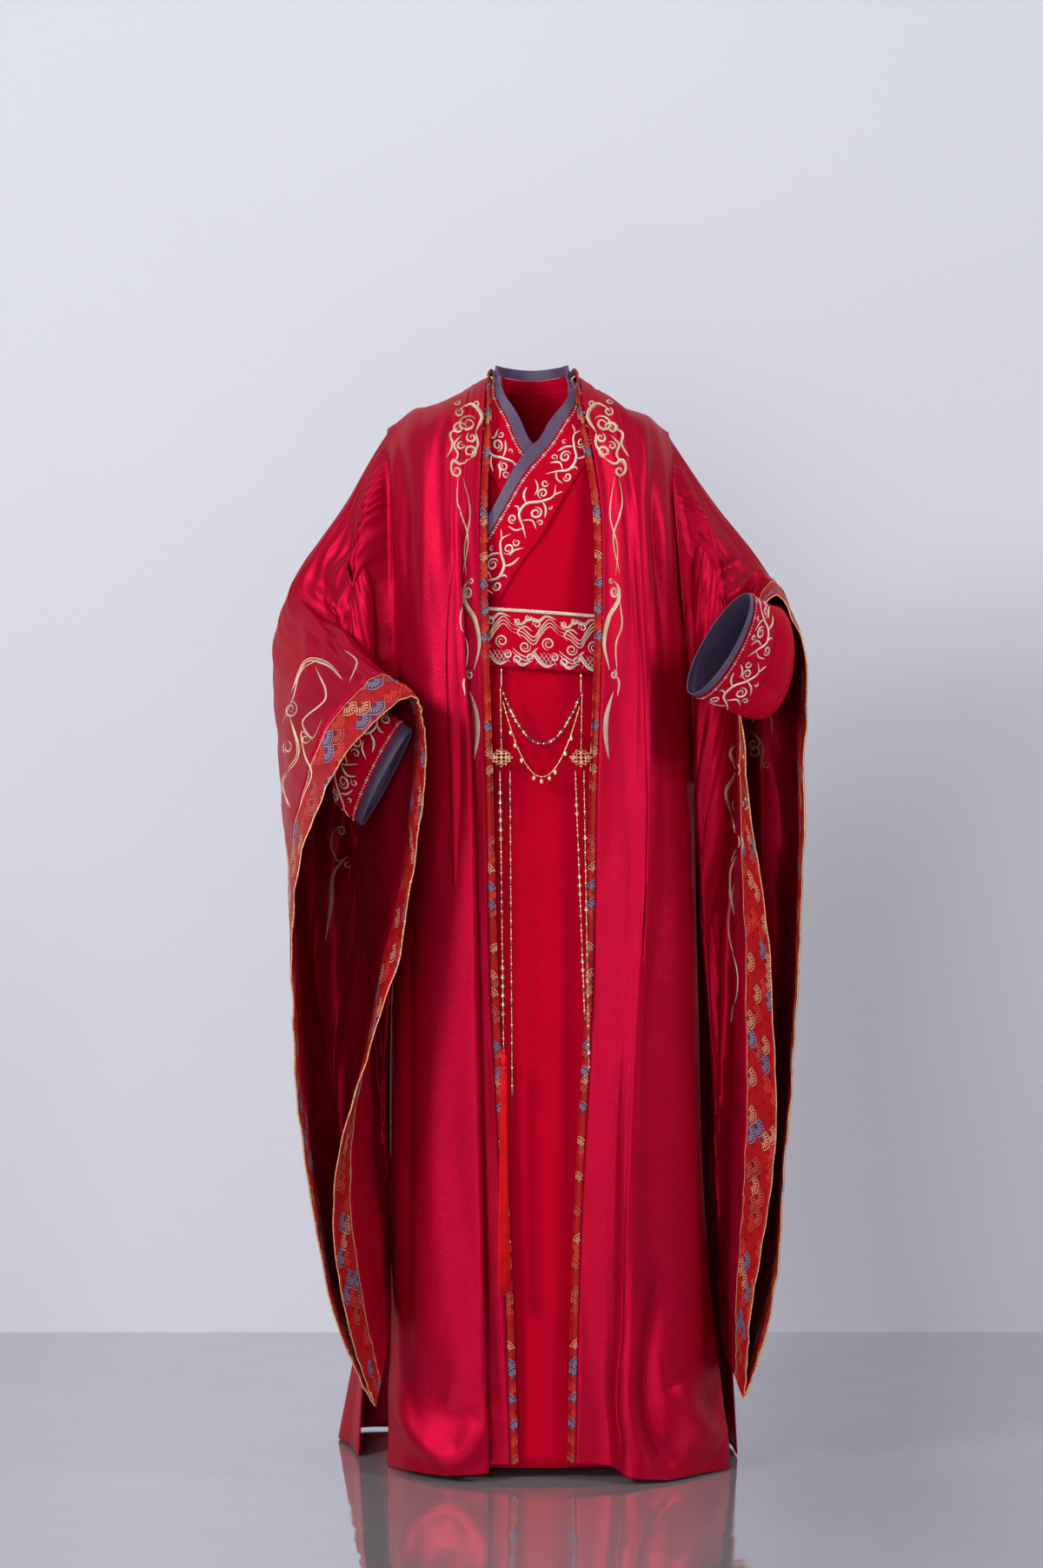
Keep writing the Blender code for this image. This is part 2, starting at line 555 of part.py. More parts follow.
def figure_front(x, z, out):
    """Depth of the figure's front at x and z."""
    table = np.array(FIGURE, float)[::-1]
    wide, front = (np.interp(z, table[:, 0], table[:, k]) + out for k in (1, 2))
    return -front * (1 - abs(x / wide) ** ROUND) ** (1 / ROUND)


def make_chains():
    gold = material("gold", (0.83, 0.55, 0.25), 0.3, 1.0)
    red = material("tassel_red", (0.62, 0.004, 0.01), 0.6)
    for x, name in zip(HOOK_X, ("left", "right")):
        low = BELT_TOP - BELT_HIGH + x * BELT_TILT
        behind = figure_front(x, low, BELT_OUT - BELT_THICK - 2.2)
        path = [(x, behind, low + 12), (x, behind, low - 3), (x, (behind + CHAIN_Y) / 2, low - 7),
                (x, CHAIN_Y, low - 5), (x, CHAIN_Y, low - 12), (x, CHAIN_Y, low - 28)]
        tube(f"hook_{name}", smooth(path, np.linspace(0, 5, 21)), 1.8, gold)
        bm = bmesh.new()
        bmesh.ops.create_circle(bm, cap_ends=True, segments=32, radius=FILIGREE_HALF * MM)
        for v in bm.verts:
            turn = math.atan2(v.co.y, v.co.x)
            lobe = 0.80 + 0.20 * math.cos(4 * turn)
            v.co = Vector((v.co.x * lobe, 0, v.co.y * lobe * 0.85))
        plate = bmesh.ops.extrude_face_region(bm, geom=bm.faces[:])["geom"]
        back = [g for g in plate if isinstance(g, bmesh.types.BMVert)]
        bmesh.ops.translate(bm, vec=(0, FILIGREE_THICK * MM, 0), verts=back)
        front = CHAIN_Y - FILIGREE_THICK / 2
        bmesh.ops.translate(bm, vec=Vector((x, front, FILIGREE_Z)) * MM, verts=bm.verts)
        bmesh.ops.recalc_face_normals(bm, faces=bm.faces)
        add_object(f"filigree_{name}", bm, gold)
    for name, (top, low, thick) in SWAGS.items():
        tube(name, swag_points(top, low, 32), thick, gold)
    for name, (x_top, x_low, z_top, z_low, thick) in STRANDS.items():
        t = np.linspace(0, 1, int((z_top - z_low) / 8) + 1)[:, None]
        points = np.array((x_top, CHAIN_Y, z_top)) * (1 - t) + np.array((x_low, CHAIN_Y, z_low)) * t
        tube(name, points, thick, gold)
    bm = bmesh.new()
    for drop, wide in TASSEL:
        ring = bmesh.ops.create_circle(bm, segments=14, radius=wide * MM)["verts"]
        bmesh.ops.translate(bm, verts=ring, vec=(TASSEL_TOP[0] * MM, (CHAIN_Y - 4) * MM,
                                                (TASSEL_TOP[1] - drop) * MM))
    bmesh.ops.bridge_loops(bm, edges=bm.edges[:])
    bmesh.ops.holes_fill(bm, edges=bm.edges[:], sides=14)
    bmesh.ops.recalc_face_normals(bm, faces=bm.faces)
    add_object("tassel", bm, red)


def main():
    for thing in list(bpy.data.objects):
        bpy.data.objects.remove(thing, do_unlink=True)
    make_body()
    make_sleeves()
    make_inner_body()
    make_collar()
    make_inner_sleeves()
    make_belt()
    make_chains()


main()
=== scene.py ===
"""A wedding hanfu as worn: a satin outer robe with wide sleeves over a cross-collar robe, with its
belt and waist chains.  Lengths in tables are millimetres: +X is the viewer's right, -Y the front,
+Z up, from the middle of the neck at shoulder height."""

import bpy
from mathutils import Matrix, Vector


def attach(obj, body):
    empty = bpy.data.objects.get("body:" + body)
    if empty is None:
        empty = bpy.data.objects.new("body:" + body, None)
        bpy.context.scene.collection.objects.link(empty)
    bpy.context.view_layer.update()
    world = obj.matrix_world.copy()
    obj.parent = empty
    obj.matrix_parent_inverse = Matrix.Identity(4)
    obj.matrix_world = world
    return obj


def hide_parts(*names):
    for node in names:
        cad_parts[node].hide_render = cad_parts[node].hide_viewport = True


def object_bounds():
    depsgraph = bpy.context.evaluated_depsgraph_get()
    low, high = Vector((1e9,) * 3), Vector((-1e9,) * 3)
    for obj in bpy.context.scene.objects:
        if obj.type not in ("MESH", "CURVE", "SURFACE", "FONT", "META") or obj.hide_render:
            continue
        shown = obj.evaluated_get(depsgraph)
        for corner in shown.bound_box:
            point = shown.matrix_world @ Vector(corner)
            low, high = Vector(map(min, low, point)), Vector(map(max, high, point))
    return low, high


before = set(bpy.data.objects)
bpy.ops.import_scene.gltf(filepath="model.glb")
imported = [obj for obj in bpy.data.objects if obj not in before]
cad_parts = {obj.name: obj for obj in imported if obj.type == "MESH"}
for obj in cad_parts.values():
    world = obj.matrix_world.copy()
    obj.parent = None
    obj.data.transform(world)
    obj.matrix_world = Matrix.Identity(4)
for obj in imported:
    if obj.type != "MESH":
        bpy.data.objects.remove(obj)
cad_box = [list(corner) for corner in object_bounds()]

import math

import bmesh
import bpy
import numpy as np
from mathutils import Vector
from mathutils.bvhtree import BVHTree

MM = 0.001

# ---------------------------------------------------------------- the room
# A pale studio: a smooth floor that mirrors the hem, a plain wall a metre behind, and a camera at
# waist height straight in front.  Large soft lamps stand left, right, in front and overhead.
FLOOR_Z = cad_box[0][2] - 0.0005
WALL_Y = 1.05
ROOM_WIDE, ROOM_DEEP, ROOM_HIGH = 16.0, 8.0, 7.0

camera = bpy.data.objects.new("camera", bpy.data.cameras.new("camera"))
bpy.context.scene.collection.objects.link(camera)
camera.data.lens = 70
camera.data.sensor_width = 36
camera.location = (-0.015, -4.385, -0.559)
camera.rotation_euler = (math.pi / 2, 0, 0)
bpy.context.scene.camera = camera


def lamp(name, place, aim, size, watts, colour=(1, 1, 1)):
    light = bpy.data.lights.new(name, "AREA")
    light.size, light.energy, light.color = size, watts, colour
    made = bpy.data.objects.new(name, light)
    made.location = place
    made.rotation_euler = (Vector(aim) - Vector(place)).to_track_quat("-Z", "Y").to_euler()
    bpy.context.scene.collection.objects.link(made)


lamp("lamp_left", (-2.4, -2.6, 0.8), (0, 0, -0.6), 0.8, 92)
lamp("lamp_right", (2.8, -1.7, 1.0), (0.1, 0, -0.6), 0.7, 56)
lamp("lamp_top", (0, -0.9, 2.3), (0, 0, -0.5), 1.6, 8)
lamp("lamp_front", (-0.9, -4.6, -0.3), (0, 0, -0.9), 1.5, 56)
lamp("lamp_wall", (-0.9, -0.4, 2.4), (-0.5, WALL_Y, -0.4), 2.0, 13, (0.97, 0.98, 1))

world = bpy.data.worlds.new("studio")
bpy.context.scene.world = world
world.use_nodes = True
world.node_tree.nodes["Background"].inputs["Color"].default_value = (0.80, 0.81, 0.86, 1)
world.node_tree.nodes["Background"].inputs["Strength"].default_value = 0.24
bpy.context.scene.view_settings.view_transform = "Standard"


def node(tree, kind, inputs=None, **settings):
    """A shader node with its settings, values and links."""
    made = tree.nodes.new(kind)
    for key, value in settings.items():
        setattr(made, key, value)
    for key, value in (inputs or {}).items():
        if isinstance(value, bpy.types.NodeSocket):
            tree.links.new(value, made.inputs[key])
        else:
            made.inputs[key].default_value = value
    return made


def finish(name, colour, roughness, metallic=0.0, **sockets):
    """A material with its own Principled shader; the socket names have _ for a space."""
    made = bpy.data.materials.new(name)
    made.use_nodes = True
    shader = made.node_tree.nodes["Principled BSDF"]
    shader.inputs["Base Color"].default_value = (*colour, 1)
    shader.inputs["Roughness"].default_value = roughness
    shader.inputs["Metallic"].default_value = metallic
    for key, value in sockets.items():
        shader.inputs[key.replace("_", " ")].default_value = value
    made.diffuse_color = (*colour, 1)
    return made


def group(name, inputs, outputs):
    """An empty shader node group, with its two end nodes."""
    tree = bpy.data.node_groups.new(name, "ShaderNodeTree")
    for key, kind, value in inputs:
        socket = tree.interface.new_socket(key, in_out="INPUT", socket_type=kind)
        if value is not None:
            socket.default_value = value
    for key, kind in outputs:
        tree.interface.new_socket(key, in_out="OUTPUT", socket_type=kind)
    return tree, tree.nodes.new("NodeGroupInput").outputs, tree.nodes.new("NodeGroupOutput").inputs


FLOAT, VECTOR = "NodeSocketFloat", "NodeSocketVector"
# blotch: a slow change of shade over a surface, between two strengths
BLOTCH, given, gives = group("blotch", (("Scale", FLOAT, 3.0), ("Dark", FLOAT, 0.9), ("Light", FLOAT, 1.1)),
                             (("Shade", FLOAT),))
place = node(BLOTCH, "ShaderNodeTexCoord")
cloud = node(BLOTCH, "ShaderNodeTexNoise", {"Vector": place.outputs["Object"], "Scale": given["Scale"],
                                            "Detail": 3.0})
shade = node(BLOTCH, "ShaderNodeMapRange", {"Value": cloud.outputs["Fac"], "From Min": 0.3, "From Max": 0.7,
                                           "To Min": given["Dark"], "To Max": given["Light"]})
BLOTCH.links.new(shade.outputs["Result"], gives["Shade"])


def shaded(material, scale, dark, light, socket="Base Color"):
    """Lets a blotch change a material's colour, or its roughness."""
    tree = material.node_tree
    shader = tree.nodes["Principled BSDF"]
    spot = node(tree, "ShaderNodeGroup", node_tree=BLOTCH)
    for key, value in (("Scale", scale), ("Dark", dark), ("Light", light)):
        spot.inputs[key].default_value = value
    if socket == "Roughness":
        rough = shader.inputs[socket].default_value
        flat = node(tree, "ShaderNodeMath", {0: rough, 1: spot.outputs["Shade"]}, operation="MULTIPLY")
        tree.links.new(flat.outputs[0], shader.inputs[socket])
        return
    before = shader.inputs[socket]
    start = before.links[0].from_socket if before.links else before.default_value[:]
    flat = node(tree, "ShaderNodeVectorMath", {1: spot.outputs["Shade"]}, operation="MULTIPLY")
    if before.links:
        tree.links.new(start, flat.inputs[0])
    else:
        flat.inputs[0].default_value = start[:3]
    tree.links.new(flat.outputs[0], shader.inputs[socket])


floor_finish = finish("pale_floor", (0.60, 0.60, 0.64), 0.05, 0.72)
tree = floor_finish.node_tree
spot = node(tree, "ShaderNodeTexCoord").outputs["Object"]
waves = node(tree, "ShaderNodeTexNoise", {"Vector": spot, "Scale": 9.0, "Detail": 2.0})
swell = node(tree, "ShaderNodeBump", {"Strength": 0.12, "Distance": 0.01, "Height": waves.outputs["Fac"]})
tree.links.new(swell.outputs["Normal"], tree.nodes["Principled BSDF"].inputs["Normal"])
shaded(floor_finish, 1.3, 0.93, 1.05)
shaded(floor_finish, 2.6, 0.4, 2.6, "Roughness")
wall_finish = finish("pale_wall", (0.60, 0.61, 0.67), 0.9)
shaded(wall_finish, 0.5, 0.97, 1.03)
# the wall is seen only from the room, so that it doesn't hide the robe's back from behind
ONE_SIDED, _, gives = group("one_sided", (), (("Mask", FLOAT),))
turned = node(ONE_SIDED, "ShaderNodeNewGeometry").outputs["Backfacing"]
shown = node(ONE_SIDED, "ShaderNodeMath", {0: 1.0, 1: turned}, operation="SUBTRACT")
ONE_SIDED.links.new(shown.outputs[0], gives["Mask"])
tree = wall_finish.node_tree
mask = node(tree, "ShaderNodeGroup", node_tree=ONE_SIDED).outputs["Mask"]
tree.links.new(mask, tree.nodes["Principled BSDF"].inputs["Alpha"])
for name, paint in (("floor", floor_finish), ("wall", wall_finish)):
    bm = bmesh.new()
    bmesh.ops.create_grid(bm, x_segments=2, y_segments=2, size=0.5)
    for v in bm.verts:
        u, w = v.co.x * ROOM_WIDE, v.co.y + 0.5
        if name == "floor":
            v.co = (u, w * (ROOM_DEEP + WALL_Y) - ROOM_DEEP, FLOOR_Z)
        else:
            v.co = (u, WALL_Y, FLOOR_Z + w * ROOM_HIGH)
    mesh = bpy.data.meshes.new(name)
    bm.to_mesh(mesh)
    bm.free()
    mesh.materials.append(paint)
    made = bpy.data.objects.new(name, mesh)
    bpy.context.scene.collection.objects.link(made)


# ---------------------------------------------------------------- waist chains
# Gold-plated chains hang from two hooks pushed behind the belt: two swags, two filigree pieces,
# and four bead strands under them, one ending in a silk tassel.  Each is threaded on a fine cord.
BELT_TILT = -0.069
HOOK_X = (-43, 68)
CHAIN_Y = -136.0
THREAD = 1.0
FILIGREE_Z = -522.0
SWAGS = {"swag_upper": (-431, -503), "swag_lower": (-444, -549)}       # height at the hook, and lowest
STRANDS = {     # x at the top and at the bottom, height at the top and at the bottom
    "hanger_left": (-44.4, -43, -424.2, -508), "hanger_right": (69.4, 68, -431.6, -508),
    "strand_left_outer": (-45, -40, -541, -926), "strand_left_inner": (-31, -28, -541, -992),
    "strand_right_inner": (60, 73, -541, -885), "strand_right_outer": (72, 79, -541, -958)}
TASSEL_TOP, TASSEL_LONG = (-40, -927.5), 344
# what is threaded, from the top down: each letter is a bead
STRINGS = {
    "swag_upper": "oGoGoGLLLLGLoGGoGoGoGLoGoLGoLLGoGoLG",
    "swag_lower": "--o-o-d--d-o-d--o-d-d-d-d-o--d-o-d--o-o-",
    "hanger_left": "o--o--oG-", "hanger_right": "o--o-oG-",
    "strand_left_outer": "-o-LLLLLL-o-o-oGoGoGoGoG-o--o--oLLLLLL-G-o-",
    "strand_left_inner": "-oG-oG-oG--oG-oG-oG--oG-oG-oG--oG-oG-oG--oG-oG--oG-oG",
    "strand_right_inner": "-o-o-oLL-o-oG-oG-o-LLL-o-oG-o-oG-oLLo-oG-o-oG",
    "strand_right_outer": "-oG-o-oG-oL-oG-o-oG-oL-oG-o-oG-oL-oG-o-oG-oL-o"}
PITCH = {"o": 4.4, "L": 9.4, "G": 5.4, "-": 6.4, "d": 5.0}
BALL = {"o": 1.7, "G": 2.3, "d": 1.4}   # radius of the round ones
LOZENGE_WIDE, LOZENGE_HIGH = 3.5, 4.8   # of each half of a lozenge

gold = finish("gold_plate", (0.90, 0.62, 0.36), 0.26, 0.85)
mirror = finish("mirror_gold", (0.96, 0.86, 0.76), 0.12, 0.8)
garnet = finish("garnet_glass", (0.05, 0.001, 0.004), 0.12, 0.0, Coat_Weight=1.0)
for metal in (gold, mirror):
    shaded(metal, 160.0, 0.72, 1.12)
    shaded(metal, 90.0, 0.8, 1.5, "Roughness")
shaded(garnet, 200.0, 0.6, 1.5)
silk = finish("tassel_silk", (0.70, 0.004, 0.010), 0.55, Sheen_Weight=0.3, Sheen_Tint=(1, 0.05, 0.08, 1),
              Specular_Tint=(1, 0.2, 0.2, 1))
shaded(silk, 60.0, 0.75, 1.15)


def put(name, data, nodes):
    """Puts a mesh or a curve in the scene as a piece of the object, standing for its CAD nodes."""
    made = bpy.data.objects.new(name, data)
    bpy.context.scene.collection.objects.link(made)
    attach(made, "root")
    if nodes:
        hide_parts(*nodes)
    return made


def piece(name, bm, finishes, nodes=()):
    """Ends a bmesh as a smooth piece."""
    mesh = bpy.data.meshes.new(name)
    bm.to_mesh(mesh)
    bm.free()
    for paint in finishes:
        mesh.materials.append(paint)
    mesh.shade_smooth()
    return put(name, mesh, nodes)


def cord_line(name, points, thick, paint, nodes):
    """A round cord through points in millimetres."""
    curve = bpy.data.curves.new(name, "CURVE")
    curve.dimensions = "3D"
    curve.bevel_depth = thick / 2 * MM
    curve.bevel_resolution = 3
    curve.use_fill_caps = True
    line = curve.splines.new("POLY")
    line.points.add(len(points) - 1)
    for point, spot in zip(line.points, points):
        point.co = (*(np.asarray(spot) * MM), 1)
    curve.materials.append(paint)
    return put(name, curve, nodes)


def shift(verts, spot, size=(1, 1, 1), turn=0.0):
    """Sizes a primitive, turns it in the plane of the front and puts it at a spot."""
    c, s = math.cos(turn), math.sin(turn)
    for v in verts:
        x, y, z = (v.co[k] * size[k] for k in range(3))
        v.co = Vector((x * c - z * s, y, x * s + z * c)) * MM + Vector(spot) * MM


def bead(bm, letter, spot, turn):
    """One bead: o a round one, L a mirror lozenge, G a garnet, - a wire link, d a ring and drop."""
    bm.faces.ensure_lookup_table()
    start = len(bm.faces)
    if letter == "L":
        both = []
        for low, high in ((0.0, LOZENGE_WIDE), (LOZENGE_WIDE, 0.0)):
            cone = bmesh.ops.create_cone(bm, cap_ends=True, segments=4, radius1=low, radius2=high,
                                         depth=LOZENGE_HIGH)["verts"]
            for v in cone:
                v.co.z += LOZENGE_HIGH / 2 * (-1 if high else 1)
            both += cone
        shift(both, spot, (1, 0.42, 1), turn)
        index = 1
    elif letter in "oGd":
        verts = bmesh.ops.create_uvsphere(bm, u_segments=8, v_segments=6, radius=BALL[letter])["verts"]
        shift(verts, spot, (1, 1, 1.15), turn)
        if letter == "d":
            verts = bmesh.ops.create_uvsphere(bm, u_segments=8, v_segments=6, radius=2.9)["verts"]
            for v in verts:
                v.co.z = v.co.z * (1.6 if v.co.z > 0 else 1.0) - 7.0
            shift(verts, spot, (1, 0.7, 1))
        index = 2 if letter == "G" else 0
    else:
        verts = bmesh.ops.create_uvsphere(bm, u_segments=6, v_segments=6, radius=1.0)["verts"]
        shift(verts, spot, (0.85, 0.85, 2.4), turn)
        index = 0
    bm.faces.ensure_lookup_table()
    for face in bm.faces[start:]:
        face.material_index = index


def run_of(points):
    """The distance of each point along its line."""
    return np.concatenate([[0], np.cumsum(np.linalg.norm(np.diff(points, axis=0), axis=-1))])


def next_ring(bm, edges):
    """Draws a tube's open end out by one more ring: its new vertices and edges."""
    made = bmesh.ops.extrude_edge_only(bm, edges=edges)["geom"]
    ring = [g for g in made if isinstance(g, bmesh.types.BMVert)]
    return ring, [g for g in made if isinstance(g, bmesh.types.BMEdge) and all(v in ring for v in g.verts)]


def threaded(name, points, letters):
    """Beads along a line, as one joined mesh; the string's letters are spread over its length."""
    along = run_of(points)
    sizes = np.array([PITCH[k] for k in letters])
    where = (np.cumsum(sizes) - sizes / 2) * (along[-1] - 1) / sizes.sum() + 0.5
    bm = bmesh.new()
    for letter, at in zip(letters, where):
        spot = [np.interp(at, along, points[:, k]) for k in range(3)]
        ahead = [np.interp(min(at + 2, along[-1]), along, points[:, k]) for k in range(3)]
        turn = math.atan2(ahead[2] - spot[2], ahead[0] - spot[0]) + math.pi / 2 if at + 2 < along[-1] else 0.0
        bead(bm, letter, spot, turn)
    return piece(name + "_beads", bm, (gold, mirror, garnet))


def hung(top, low):
    """A swag between the hooks, with the ends at its hooks' heights."""
    t = np.linspace(0, 1, 40)
    x = HOOK_X[0] + 2.2 + (HOOK_X[1] - HOOK_X[0] - 4.4) * t
    end = top + (x - x[0]) * BELT_TILT
    return np.stack([x, CHAIN_Y + 0 * x, end + (low - (end[0] + end[-1]) / 2) * 4 * t * (1 - t)], axis=-1)


for name, (top, low) in SWAGS.items():
    points = hung(top, low)
    thread = cord_line(name + "_thread", points, THREAD, gold, (name,))
    threaded(name, points, STRINGS[name])
lines = {}
for name, (x_top, x_low, z_top, z_low) in STRANDS.items():
    t = np.linspace(0, 1, 30)[:, None]
    points = np.array((x_top, CHAIN_Y, z_top)) * (1 - t) + np.array((x_low, CHAIN_Y, z_low)) * t
    thread = cord_line(name + "_thread", points, THREAD, gold, (name,))
    threaded(name, points, STRINGS[name])

# The tassel: red silk threads doubled over a loop, bound under a small head, on a core thread.
t = np.linspace(0, 1, 24)[:, None]
core = np.array((TASSEL_TOP[0], CHAIN_Y - 4, TASSEL_TOP[1])) + np.array((0, 0, -TASSEL_LONG + 4)) * t
core_line = cord_line("tassel_core", core, 2.0, silk, ("tassel",))
bm = bmesh.new()
for wide, tall, drop in ((3.0, 4.5, 4), (4.4, 9.0, 15), (4.9, 3.0, 27)):
    verts = bmesh.ops.create_uvsphere(bm, u_segments=14, v_segments=8, radius=1.0)["verts"]
    shift(verts, (TASSEL_TOP[0], CHAIN_Y - 4, TASSEL_TOP[1] - drop), (wide, wide, tall))
for k in range(5):                      # binding turns round the neck of the tassel
    verts = bmesh.ops.create_uvsphere(bm, u_segments=14, v_segments=4, radius=1.0)["verts"]
    shift(verts, (TASSEL_TOP[0], CHAIN_Y - 4, TASSEL_TOP[1] - 29 - k * 1.5), (4.7, 4.7, 0.9))
rng = np.random.default_rng(7)
THREADS = 78
for k in range(THREADS):
    turn, reach = k * 2.39996, math.sqrt((k + 0.5) / THREADS)
    lean, end = rng.uniform(-0.5, 0.5, 2), rng.uniform(0, 5)
    ring = bmesh.ops.create_circle(bm, segments=4, radius=0.55)["verts"]
    rows = 9
    for v in ring:
        v.co = Vector((v.co.x, v.co.y, 0))
    edges = list({e for v in ring for e in v.link_edges})
    for row in range(rows):
        if row:
            ring, edges = next_ring(bm, edges)
        drop = (row / (rows - 1)) ** 1.15
        wide = reach * (4.0 + 3.9 * drop) + 0.25 * math.sin(turn * 3 + row)
        x, y = math.cos(turn) * wide + lean[0] * drop, math.sin(turn) * wide + lean[1] * drop
        z = TASSEL_TOP[1] - 32 - (TASSEL_LONG - 34 - end) * drop
        spot = Vector((TASSEL_TOP[0] + x, CHAIN_Y - 4 + y, z)) * MM
        for j, v in enumerate(ring):
            v.co = spot + Vector((math.cos(j * 1.5708), math.sin(j * 1.5708), 0)) * 0.62 * MM
    bmesh.ops.holes_fill(bm, edges=edges, sides=4)
bmesh.ops.recalc_face_normals(bm, faces=bm.faces)
threads = piece("tassel_threads", bm, (silk,))

# The filigree pieces: pierced wirework of four lobes, each a pair of scrolls, round a boss.
for x, side in zip(HOOK_X, ("left", "right")):
    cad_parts["hook_" + side].data.materials.clear()
    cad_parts["hook_" + side].data.materials.append(gold)
    bm = bmesh.new()
    middle = np.array((x, CHAIN_Y, FILIGREE_Z))

    def wire(points, thick):
        """A round wire through points, swept as a bmesh tube."""
        points = np.asarray(points)
        edges = None
        for k, spot in enumerate(points):
            way = points[min(k + 1, len(points) - 1)] - points[max(k - 1, 0)]
            turn = Vector(way).to_track_quat("Z", "Y").to_matrix()
            if k == 0:
                ring = bmesh.ops.create_circle(bm, segments=6, radius=1, cap_ends=True)["verts"]
                edges = list({e for v in ring for e in v.link_edges})
            else:
                ring, edges = next_ring(bm, edges)
            for j, v in enumerate(ring):
                a = j * math.pi / 3
                v.co = (Vector(spot + middle) + turn @ Vector((math.cos(a), math.sin(a), 0)) * thick / 2) * MM
        bmesh.ops.holes_fill(bm, edges=edges, sides=6)

    for k in range(4):
        a = k * math.pi / 2
        flat = np.array(((math.cos(a), 0, math.sin(a)), (-math.sin(a), 0, math.cos(a)))) * (1, 1, 0.85)
        for mirrored in (-1, 1):
            turn = np.linspace(0, 1, 22)
            spin = 0.4 + turn * 7.2
            r = 4.1 * (1 - 0.72 * turn)
            curl = np.stack([9.0 + r * np.cos(spin), mirrored * (3.6 + r * np.sin(spin))], axis=-1)
            wire(curl @ flat, 1.15)
            arm = np.array([(3, 0), (6, 1.2), (9, 0.6), (12.5, 2.6), (15.2, 0)]) * (1, mirrored)
            wire(arm @ flat, 1.3)
        for spot, wide in (((15.0, 0), 1.3), ((11.4, 0), 0.9), ((6.2, 5.8), 1.0), ((4.5, 0), 1.2)):
            verts = bmesh.ops.create_uvsphere(bm, u_segments=8, v_segments=6, radius=wide)["verts"]
            shift(verts, middle + np.array(spot) @ flat)
    verts = bmesh.ops.create_uvsphere(bm, u_segments=14, v_segments=8, radius=2.6)["verts"]
    shift(verts, middle + (0, -0.6, 0), (1, 0.7, 1))
    bmesh.ops.recalc_face_normals(bm, faces=bm.faces)
    piece("filigree_wire_" + side, bm, (gold,), ("filigree_" + side,))

# ---------------------------------------------------------------- outer robe, body
# Crimson satin, cut in two halves that run from the front hem over the shoulder to the back hem,
# with a seam down the middle of the back.  It hangs open, with a pleat beside each front edge.
SATIN = 2.0
BROCADE = 2.4
SEAM = 0.3
BAND_WIDE = 11.0
FRONT_COLUMNS = ("z_edge", "z_mid", "z_side", "edge", "edge_y", "fold", "fold_y", "tuck",
                 "corner", "corner_y", "side", "side_y")
FRONT_LEFT = (
    (-1516, -1528, -1536, 30, -100, 63, -120, 14, 178, -66, 204, -20),
    (-1200, -1200, -1200, 41, -112, 72, -134, 18, 184, -70, 198, -14),
    (-850, -850, -850, 58, -121, 80, -146, 21, 184, -70, 195, -8),
    (-556, -556, -556, 65, -128, 85, -151, 21, 182, -68, 192, -3),
    (-330, -330, -330, 72, -130, 97, -148, 12, 178, -78, 190, -44),
    (-160, -162, -168, 74, -123, 103, -132, 2, 182, -86, 196, -52),
    (-14, -46, -98, 66, -76, 98, -84, 0, 172, -66, 204, -36),
    (22, -17, -50, 62, -14, 98, -4, 0, 172, 8, 206, 10))
FRONT_RIGHT = (
    (-1514, -1532, -1535, 61, -100, 128, -128, 6, 232, -84, 280, -34),
    (-1200, -1200, -1200, 68, -112, 136, -136, 4, 226, -74, 248, -16),
    (-850, -850, -850, 85, -121, 150, -142, 4, 216, -74, 240, -10),
    (-556, -556, -556, 91, -128, 160, -145, 5, 212, -72, 234, -3),
    (-330, -330, -330, 98, -130, 158, -142, 4, 200, -82, 216, -46),
    (-160, -162, -168, 95, -123, 146, -128, 1, 188, -88, 202, -52),
    (-14, -46, -98, 70, -78, 120, -86, 0, 172, -66, 198, -36),
    (23, -26, -54, 64, -14, 100, -4, 0, 164, 8, 195, 10))
BACK_LEFT = (
    (50, 50, 24, 204, 58, -104, 0),
    (0, 80, -8, 196, 72, -176, 0),
    (0, 112, -300, 190, 56, -335, 0),
    (0, 124, -540, 192, 3, -556, 0),
    (0, 140, -850, 208, 18, -850, 6),
    (0, 165, -1200, 230, 32, -1200, 30),
    (0, 215, -1533, 250, 44, -1533, 92))
BACK_RIGHT = (
    (50, 50, 22, 198, 58, -104, 0),
    (0, 80, -8, 202, 72, -176, 0),
    (0, 112, -300, 216, 58, -335, 0),
    (0, 124, -540, 234, 3, -556, 0),
    (0, 140, -850, 254, 30, -850, 4),
    (0, 165, -1200, 276, 44, -1200, 14),
    (0, 215, -1533, 296, 48, -1533, 34))
ACROSS_POINTS = 7
UNDERARM_FRONT, SHOULDER, UNDERARM_BACK = 3, 7, 11
BODY_ROWS = np.concatenate([np.linspace(0, 0.5, 50)[:-1], np.linspace(0.5, 3, 86)[:-1],
                            np.linspace(3, 11, 120)[:-1], np.linspace(11, 14, 91)])
BODY_COLUMNS = np.linspace(0, 6, 67)


def smooth(points, at):
    """Points on the smooth curve through points; at counts along them, 0 at the first."""
    points = np.asarray(points, float)
    step = np.diff(points, axis=0)
    gap = np.linalg.norm(step, axis=-1, keepdims=True) + 1e-6
    rate = step / gap
    middle = (rate[:-1] * gap[1:] + rate[1:] * gap[:-1]) / (gap[:-1] + gap[1:])
    slope = np.concatenate([rate[:1], middle, rate[-1:]])
    i = np.clip(np.floor(at).astype(int), 0, len(points) - 2)
    t = (at - i).reshape((-1,) + (1,) * (points.ndim - 1))
    bend = slope[i] * t * (1 - t) ** 2 - slope[i + 1] * t ** 2 * (1 - t)
    return points[i] * (1 + 2 * t) * (1 - t) ** 2 + points[i + 1] * t ** 2 * (3 - 2 * t) + gap[i] * bend


